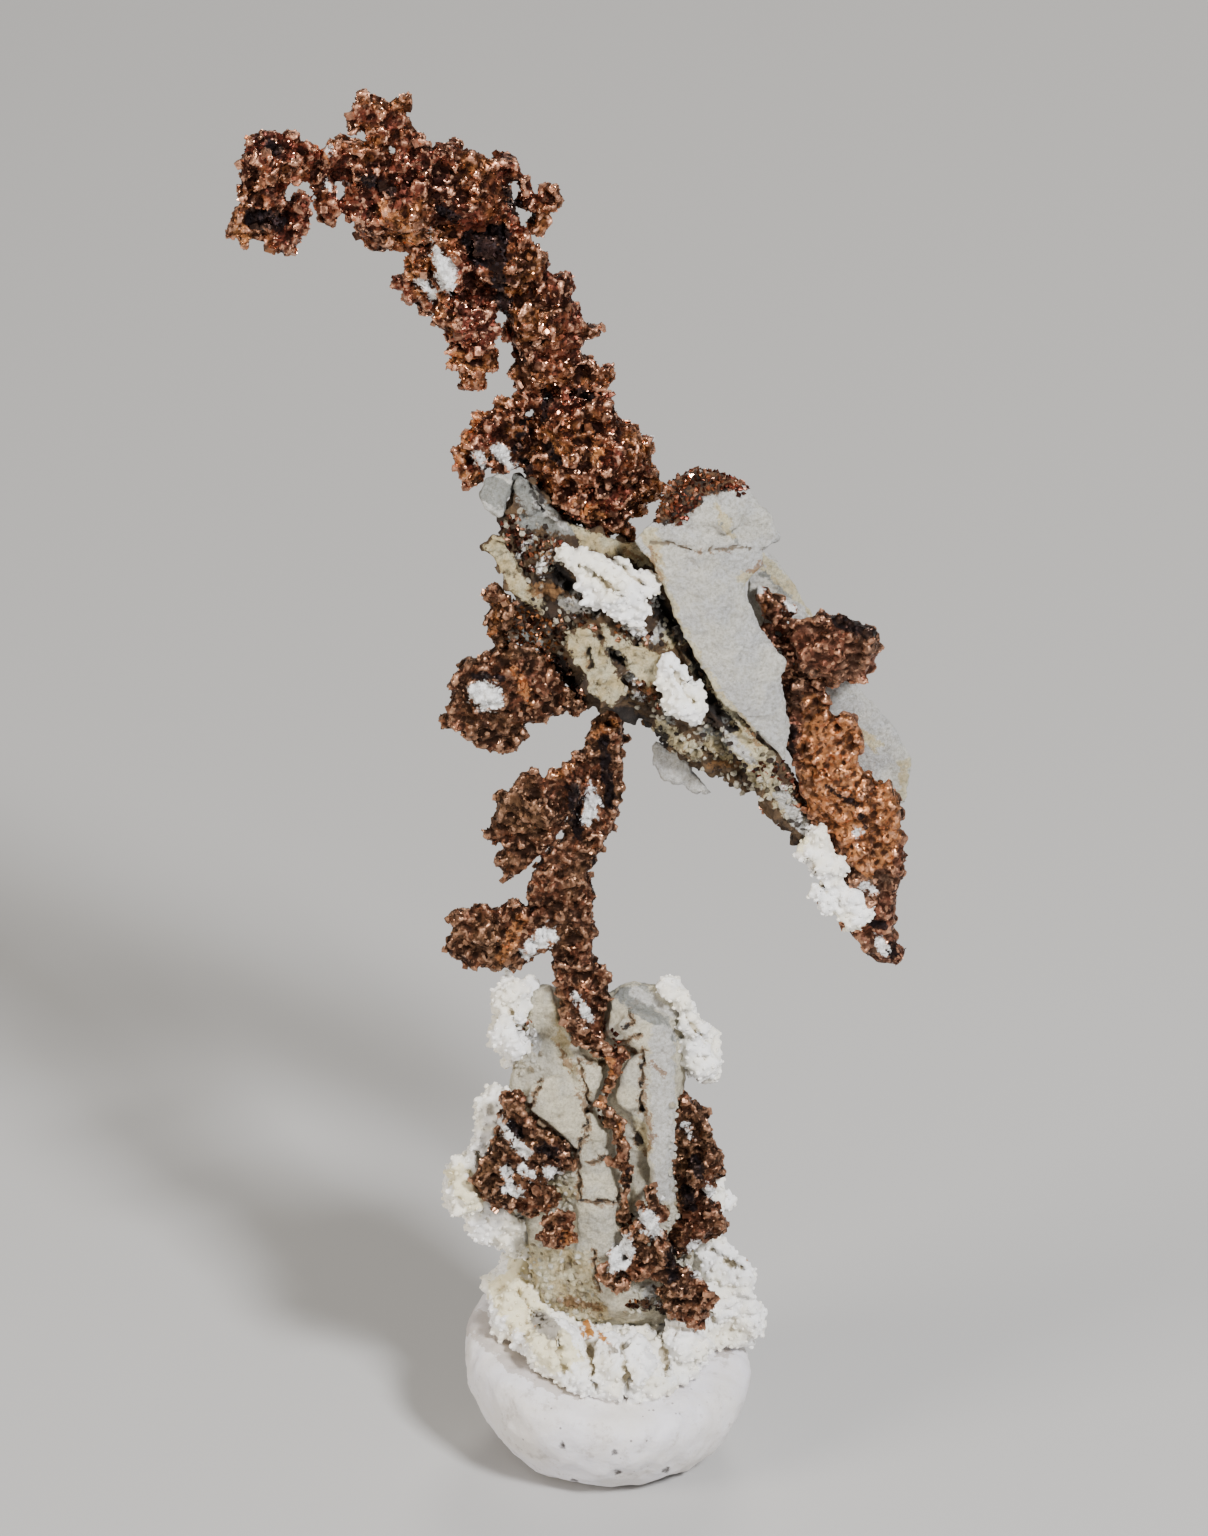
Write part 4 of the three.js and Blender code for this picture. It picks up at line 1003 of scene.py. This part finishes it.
LOWER_CRACKS = [
    (-1.0, 17.6, -0.95, 16.4, 0.04), (-0.95, 16.4, -1.6, 15.4, 0.05), (0.0, 15.1, -0.9, 14.9, 0.04),
    (-1.4, 12.95, 0.3, 12.75, 0.03), (1.75, 20.6, 1.65, 17.6, 0.05), (1.1, 22.6, 1.2, 22.1, 0.05),
    (1.2, 22.1, 0.8, 21.7, 0.05), (0.6, 13.4, 0.75, 11.4, 0.06), (1.45, 16.3, 1.5, 15.8, 0.18),
    (-1.5, 19.9, -0.9, 17.9, 0.05), (-1.4, 20.05, -0.1, 20.0, 0.05), (-3.4, 19.0, -4.0, 17.6, 0.05),
    (-3.9, 17.3, -1.6, 15.4, 0.05), (-1.5, 15.2, -1.5, 13.0, 0.04), (1.7, 21.4, 0.6, 21.0, 0.04),
    (-0.7, 10.3, -0.5, 8.2, 0.05), (2.4, 8.4, 2.9, 7.6, 0.05),
]
LOWER_MARKS["rust"] += [(*stroke[:4], 0.13) for stroke in LOWER_CRACKS]
plates = {"relief": 0.3, "worn": 35, "marks": LOWER_MARKS, "cracks": [(LOWER_CRACKS, 0.24)]}
lower = rock_piece("lower_block", ["lower_rock"], PALE_STONE, 61, **plates)
rock_copper(lower, "lower_specks", 91)

# %% The upper block
UPPER_MARKS = {
    "cream": [
        [(-6.1, 45.8), (-5.7, 46.4), (-5.1, 46.0), (-4.2, 44.4), (-3.2, 43.2), (-3.4, 42.6), (-4.7, 43.5),
         (-5.5, 44.9)],
        [(-2.0, 41.6), (-1.0, 41.8), (-0.2, 40.8), (0.9, 38.6), (0.2, 37.9), (-0.9, 38.6), (-1.2, 39.6),
         (-2.0, 40.8)],
        [(-0.2, 41.8), (1.2, 40.9), (2.8, 40.5), (3.0, 39.6), (2.0, 38.8), (0.8, 39.9), (0.0, 40.8)],
        [(3.4, 41.8), (4.6, 39.9), (6.6, 37.2), (8.3, 35.4), (8.0, 34.4), (6.6, 35.6), (5.6, 37.6),
         (4.2, 39.6)],
        [(-1.9, 47.0), (-0.3, 46.3), (1.4, 46.0), (2.3, 46.0), (2.2, 44.6), (0.6, 45.3), (-1.2, 45.7)],
        (6.6, 36.0, 7.6, 34.4, 0.5), (2.6, 36.9, 4.4, 35.6, 0.35), (2.8, 41.6, 3.2, 41.0, 0.25),
        (-2.2, 43.0, -1.6, 42.8, 0.2), (5.0, 36.2, 6.0, 35.6, 0.3), (7.6, 34.8, 9.2, 32.6, 0.45),
        (10.2, 31.2, 10.8, 30.2, 0.3),
    ],
    "grey": [
        [(-4.9, 49.4), (-4.0, 49.2), (-3.4, 48.2), (-2.4, 47.3), (-1.6, 46.9), (-1.8, 46.2), (-3.0, 46.5),
         (-3.7, 47.2), (-4.1, 47.7), (-4.8, 48.6)],
        (-4.2, 47.1, -3.6, 46.9, 0.35), (-4.1, 41.4, -3.5, 41.1, 0.3), (-6.2, 40.7, -5.2, 41.2, 0.25),
        (5.0, 36.6, 5.8, 36.2, 0.3), (2.9, 38.2, 3.3, 37.4, 0.25),
    ],
    "chalk": [
        (-2.2, 44.0, -1.4, 43.5, 0.2), (-2.0, 42.9, -1.4, 42.6, 0.15), (-3.6, 48.0, -2.2, 46.8, 0.18),
        (8.6, 33.6, 10.4, 31.0, 0.35), (6.0, 36.4, 7.0, 35.2, 0.25), (3.6, 38.0, 4.2, 37.2, 0.2),
        (1.0, 42.0, 1.5, 41.6, 0.25), (-3.5, 44.6, -2.6, 45.6, 0.15), (-2.2, 43.1, -0.6, 42.6, 0.25),
        (1.2, 42.4, 2.6, 43.2, 0.2), (2.3, 41.2, 2.9, 42.2, 0.2), (1.0, 39.6, 1.6, 38.4, 0.2),
        (-4.4, 45.4, -3.8, 46.2, 0.12),
    ],
    "rust": [
        (-3.6, 43.6, -2.6, 43.6, 0.35), (-3.0, 45.2, -2.6, 45.6, 0.3), (-1.0, 40.6, -0.9, 39.9, 0.12),
        (1.9, 46.2, 2.6, 44.0, 0.15), (0.8, 45.5, 1.6, 45.2, 0.15), (1.2, 38.9, 2.2, 38.7, 0.25),
        (6.9, 36.8, 7.4, 36.0, 0.12), (5.2, 35.0, 6.4, 35.0, 0.15),
    ],
    # Painted shadows between the plates.
    "dirt_and_shade": [
        [(-3.0, 45.0), (-2.2, 45.0), (-1.9, 44.4), (-1.6, 43.7), (-2.0, 43.5), (-2.6, 43.9)],
        [(-3.1, 40.2), (-2.3, 40.5), (-1.8, 39.6), (-1.4, 38.7), (-2.4, 38.7)],
        (2.5, 42.8, 3.6, 41.4, 0.3), (3.9, 40.8, 4.9, 38.8, 0.22), (5.0, 38.2, 6.2, 36.8, 0.3),
        (0.2, 40.6, 0.8, 40.0, 0.2), (-3.6, 48.6, -3.2, 48.0, 0.1), (0.9, 46.9, 1.3, 46.3, 0.25),
        (0.6, 37.4, 2.4, 36.2, 0.6),
    ],
    "bare": [
        [(-5.8, 44.0), (-4.9, 43.2), (-3.8, 42.8), (-3.2, 42.5), (-3.4, 41.6), (-3.3, 40.6), (-4.4, 40.9),
         (-5.4, 41.1), (-6.1, 41.6), (-6.0, 42.4), (-5.5, 43.3)],
        [(-3.2, 42.2), (-2.2, 42.4), (-2.1, 41.4), (-2.2, 40.4), (-1.5, 39.0), (-1.0, 38.0), (-2.0, 38.2),
         (-3.5, 38.6), (-4.6, 39.6), (-4.6, 40.9)],
        [(-5.0, 47.3), (-4.2, 47.2), (-3.8, 46.4), (-2.2, 46.1), (-2.0, 45.4), (-2.6, 44.9), (-3.2, 44.4),
         (-3.9, 44.4), (-4.6, 45.2), (-5.2, 46.2)],
        (0.7, 41.6, 1.8, 41.2, 0.4), (1.6, 38.6, 2.9, 38.2, 0.4), (2.1, 43.4, 2.5, 42.8, 0.15),
        (7.4, 35.2, 8.2, 34.4, 0.3), (1.2, 36.6, 2.8, 35.4, 0.4), (-1.6, 42.4, -0.8, 42.0, 0.2),
        (1.2, 39.4, 1.7, 39.0, 0.2), (8.6, 34.8, 10.6, 31.4, 0.3),
    ],
}
UPPER_MARKS["loose"] = [
    [(-5.4, 47.4), (-3.9, 47.6), (-2.4, 46.2), (-2.0, 44.6), (-2.8, 43.2), (-4.2, 44.2), (-5.2, 46.2)],
    [(-4.2, 44.2), (-2.6, 44.0), (-0.8, 42.4), (-0.2, 41.8), (-2.0, 41.8), (-2.4, 40.2), (-3.6, 42.4)],
    [(-0.8, 42.6), (1.8, 41.8), (2.8, 42.9), (4.0, 41.2), (2.8, 40.6), (1.2, 40.9), (-0.2, 41.9)],
    [(-0.2, 40.8), (0.9, 40.4), (1.9, 38.9), (3.0, 39.2), (3.2, 37.0), (1.4, 37.6), (0.6, 39.2)],
    [(2.0, 37.0), (3.6, 36.9), (5.2, 37.4), (6.4, 36.4), (8.0, 34.6), (9.0, 33.6), (8.0, 33.0),
     (2.4, 36.0)],
    (7.8, 35.2, 11.6, 29.6, 0.7),
]
UPPER_CRACKS = [
    ([(-0.95, 41.0, -0.85, 39.8, 0.05), (-3.9, 48.8, -3.3, 47.6, 0.06)], 0.25),
    ([(3.9, 40.9, 5.1, 38.3, 0.15), (2.4, 43.4, 3.4, 41.8, 0.15), (5.2, 38, 6.3, 36.7, 0.2)], 0.45),
    ([(-2.9, 44.9, -1.9, 43.8, 0.2), (-2.9, 40.0, -1.9, 39.2, 0.25), (0.2, 40.5, 0.8, 40, 0.15)], 0.5),
]
upper = rock_piece(
    "upper_block",
    ["upper_rock"],
    RUBBLE,
    62,
    swell=0.0,
    rubble=(0.8, 0.2, 0.8),
    relief=0.35,
    marks=UPPER_MARKS,
    cracks=UPPER_CRACKS,
)
rock_copper(upper, "upper_specks", 93)

# %% The sheets of the wing
FRONT_MARKS = {
    "cream": [
        [(1.6, 46.6), (2.4, 46.6), (2.6, 45.0), (3.3, 43.0), (4.1, 41.2), (5.5, 38.9), (7.2, 36.7),
         (8.6, 35.3), (7.4, 35.6), (5.2, 38.4), (3.6, 41.4), (2.2, 44.4)],
        (6.6, 44.2, 7.3, 44.4, 0.25), (5.4, 47.6, 6.0, 46.4, 0.2),
    ],
    "rust": [
        (2.1, 45.6, 2.6, 43.9, 0.12), (5.0, 45.5, 6.1, 45.62, 0.05), (7.0, 44.5, 7.5, 44.9, 0.15),
        (3.0, 45.85, 4.6, 45.5, 0.03),
    ],
    "mud_and_shadow": [
        [(2.0, 47.0), (2.9, 48.6), (3.6, 49.3), (4.6, 49.7), (5.8, 49.6), (6.9, 48.8), (5.9, 48.3),
         (4.9, 48.3), (4.2, 47.5), (3.6, 46.8), (2.6, 46.9)]
    ],
    "grey": [(2.8, 47.4, 3.6, 47.4, 0.3), (4.3, 48.6, 4.7, 48.9, 0.3), (5.6, 46.9, 6.2, 46.2, 0.15)],
    "bare": [
        (4.6, 48.9, 6.6, 48.7, 0.45), (3.4, 48.9, 5.8, 49.6, 0.3), (2.4, 47.4, 3.4, 48.6, 0.5),
        (3.2, 47.2, 4.4, 48.2, 0.35), (2.6, 48.2, 3.4, 48.6, 0.25), (3.2, 46.95, 3.9, 47.2, 0.15),
        (2.3, 47.0, 2.6, 47.6, 0.2),
    ],
}
FRONT_CRACKS = [
    (2.15, 45.95, 3.25, 45.8, 0.03), (3.25, 45.8, 4.4, 45.45, 0.03), (4.4, 45.45, 5.0, 45.5, 0.03),
    (5.0, 45.5, 6.1, 45.65, 0.05), (6.1, 45.65, 7.6, 45.65, 0.03),
]
BACK_MARKS = {
    "cream": [(7.6, 45.3, 10.3, 42.3, 0.3), (14.9, 35.0, 14.8, 33.4, 0.3), (12.0, 37.0, 13.4, 36.0, 0.3)],
    "grey": [(7.4, 44.9, 9.4, 42.8, 0.2)],
    "chalk": [(8.6, 43.0, 9.4, 42.6, 0.4), (12.2, 35.8, 13.2, 34.6, 0.4)],
}
sheet = {"swell": 0.0, "relief": 0.14, "edges": 0.35}
sheet_cracks = [(FRONT_CRACKS, 0.2)]
FRONT, BACK = ["rock_front_sheet"], ["rock_back_sheet"]
front = rock_piece(
    "front_sheet", FRONT, SHEET_STONE, 63, marks=FRONT_MARKS, cracks=sheet_cracks, **sheet
)
rock_copper(front, "rim_specks", 95, apart=0.2)
rock_piece("back_sheet", BACK, SHEET_STONE, 64, marks=BACK_MARKS, **sheet)

# %% The small stones
PEBBLE_MARKS = {"grey": [(-5.8, 48.6, -5.0, 48.2, 0.7)]}
rock_piece("pebble", ["rock_pebble"], SHEET_STONE, 65, swell=0.05, edges=0.2, marks=PEBBLE_MARKS)
# The chalk stroke lightens the flake where it lies in shade: painted light.
FLAKE_PAINTED_LIGHT = {"chalk": [(3.4, 34.6, 5.2, 33.6, 0.3)]}
rock_piece("flake", ["rock_flake"], SHEET_STONE, 66, swell=0.0, edges=0.5, marks=FLAKE_PAINTED_LIGHT)

# %% [markdown]
# ## The white crust
# It stands in knobs like the head of a cauliflower, each knob made of smaller ones and dusted
# with fine grains. Folds run between the knobs, where separate growths met.

# %% Growing crust
KNOBS = 0.16  # the size of the faces that fuse the large knobs, in mm


def crust_piece(name, nodes, seed, swell, marks, folds):
    """Crust over CAD solids, with its folds as drawn strokes and their depth."""
    form = form_of(*nodes, swell=swell)
    cover(form, BEADS, 0.75, (0.5, 1.5), seed)
    fuse(form, KNOBS)
    roughen(form, "VORONOI", 1.1, 0.45)
    cover(form, BEADS, 0.42, (0.25, 0.6), seed + 30)
    fuse(form, COARSE + 0.02)
    roughen(form, "CLOUDS", 0.35, 0.12)
    grains = [(GEMS, 0.42, (0.14, 0.34), seed + 60)]
    return finish(form, name, nodes, WHITE_CRUST, "crust", marks, [folds], grains)


# %% The crust at the foot
FOOT_MARKS = {
    "rust": [(-2.2, 7.7, -0.6, 7.3, 0.25), (-1.2, 6.6, -1.0, 6.0, 0.25), (-0.4, 6.0, 0.2, 5.3, 0.15)],
    "grey": [(-3.5, 6.6, -2.9, 6.3, 0.5), (0.0, 5.4, 0.3, 5.2, 0.15)],
    "cream": [(-5.0, 8.0, -2.5, 5.0, 1.0), (-4.5, 9.5, -2.5, 9.0, 0.6)],
}
FOOT_FOLDS = [
    (-4.6, 8.4, -3.4, 6.6, 0.12), (-2.6, 6.0, -2.2, 4.0, 0.1), (-1.0, 5.6, -0.7, 3.4, 0.08),
    (0.8, 5.6, 1.0, 3.4, 0.1), (2.6, 6.2, 3.1, 4.0, 0.12), (4.4, 7.6, 5.6, 6.4, 0.1),
    (5.2, 10.2, 6.8, 9.2, 0.1), (4.9, 12.0, 6.0, 11.6, 0.08),
]
crust_piece("foot", ["foot_crust"], 41, -0.3, FOOT_MARKS, (FOOT_FOLDS, 0.5))

# %% The crust on both blocks
CRUST_MARKS = {"cream": [(-7.6, 14.0, -6.8, 13.0, 0.6), (9.0, 33.0, 9.6, 31.4, 0.5)]}
CRUST_FOLDS = [
    (-1.3, 44.7, 0.7, 43.3, 0.12), (0.2, 45.2, 1.9, 43.7, 0.08), (-2.7, 45.2, -1.6, 44.1, 0.08),
    (3.1, 39.9, 4.3, 38.1, 0.1), (4.6, 39.6, 4.0, 38.9, 0.06), (-4.9, 22.6, -4.1, 21.2, 0.08),
    (3.9, 22.4, 5.0, 20.9, 0.08), (-6.6, 15.2, -5.6, 13.0, 0.1), (-5.4, 12.8, -4.2, 11.8, 0.08),
    (9.9, 30.2, 10.9, 28.6, 0.08),
]
PLACES = ("shoulder_left", "shoulder_right", "left", "right", "bright", "little", "tail")
for number, place in enumerate(PLACES):
    name = "crust_" + place
    crust_piece(name, [name], 43 + number, -0.2, CRUST_MARKS, (CRUST_FOLDS, 0.45))

# %% [markdown]
# ## The putty
# A lump of it was rolled into a ball and pressed down, so it has no edges, only soft dimples
# where fingers were.

# %% Pressing the putty
form = form_of("putty_base", swell=0.12)
fuse(form, 0.25)
soften(form, 0.8, 140)
roughen(form, "CLOUDS", 3.4, 0.5)
roughen(form, "CLOUDS", 0.9, 0.22)
roughen(form, "CLOUDS", 0.35, 0.06)
PUTTY_MARKS = {
    # The mud strokes on the putty are a painted shadow of the foot.
    "mud_and_shadow": [(-6.8, 6.4, -4.6, 4.6, 0.7), (-4.4, 4.4, -1.6, 3.0, 0.5), (5.8, 5.2, 6.6, 6.0, 0.4)],
    "dirt_and_shade": [
        (0.3, 0.1, 0.35, 0.0, 0.12), (0.5, -1.0, 0.55, -1.1, 0.14), (2.9, -1.0, 3.0, -1.0, 0.12),
        (-2.4, 0.4, -2.3, 0.4, 0.14), (-1.9, -1.6, -1.5, -1.6, 0.08), (-6.0, 6.3, -5.9, 6.2, 0.08),
    ],
}
finish(form, "putty", ["putty_base"], WHITE_PUTTY, "putty", PUTTY_MARKS)

# %% [markdown]
# ## Floor, light and camera
# A pale floor and soft lights, as on a studio table. The key light comes from the upper right and
# is a little cool. A warmer, weaker one fills from the left, and one from behind lights the edges.


# %% The floor
def floor():
    sweep = bmesh.new()
    bmesh.ops.create_grid(sweep, x_segments=1, y_segments=1, size=0.6)
    made = put_mesh("floor", sweep)
    material = bpy.data.materials.new("Pale floor")
    material.use_nodes = True
    shader = material.node_tree.nodes["Principled BSDF"]
    shader.inputs["Base Color"].default_value = (0.48, 0.475, 0.465, 1)
    shader.inputs["Roughness"].default_value = 0.8
    made.data.materials.append(material)


floor()


# %% The lights
MIDDLE = Vector((0, 0, 40))  # of the specimen, in mm


def lamp(name, place, size, watts, tint):
    """A square area light, aimed at the middle of the specimen. Its place and size are in mm."""
    light = bpy.data.lights.new(name, "AREA")
    light.size = size * MM
    light.energy = watts
    light.color = tint
    made = put_in(name, light)
    made.location = Vector(place) * MM
    aim = MIDDLE - Vector(place)
    made.rotation_euler = aim.to_track_quat("-Z", "Y").to_euler()


lamp("key", (150, -240, 270), 60, 2.3, (0.98, 0.98, 1.0))
lamp("fill", (-260, -160, 140), 120, 0.8, (1.0, 0.92, 0.82))
lamp("rim", (60, 260, 240), 120, 0.5, (1.0, 0.96, 0.9))

world = bpy.data.worlds.new("Studio")
world.use_nodes = True
backdrop = world.node_tree.nodes["Background"].inputs
backdrop["Color"].default_value = (0.78, 0.78, 0.79, 1)
backdrop["Strength"].default_value = 0.24
bpy.context.scene.world = world

# %% The camera
DISTANCE = 600  # mm from the aim, far enough for the slight perspective of the photograph
AIM = Vector((-0.2, 0, 39.47))
lens = bpy.data.cameras.new("camera")
lens.lens = 281.25  # mm, for the photograph's framing from that far
lens.sensor_width = 36
camera = put_in("camera", lens)
back = Vector(TO_VIEWER)
camera.location = (AIM + DISTANCE * back) * MM
camera.rotation_euler = (-back).to_track_quat("-Z", "Y").to_euler()
bpy.context.scene.camera = camera
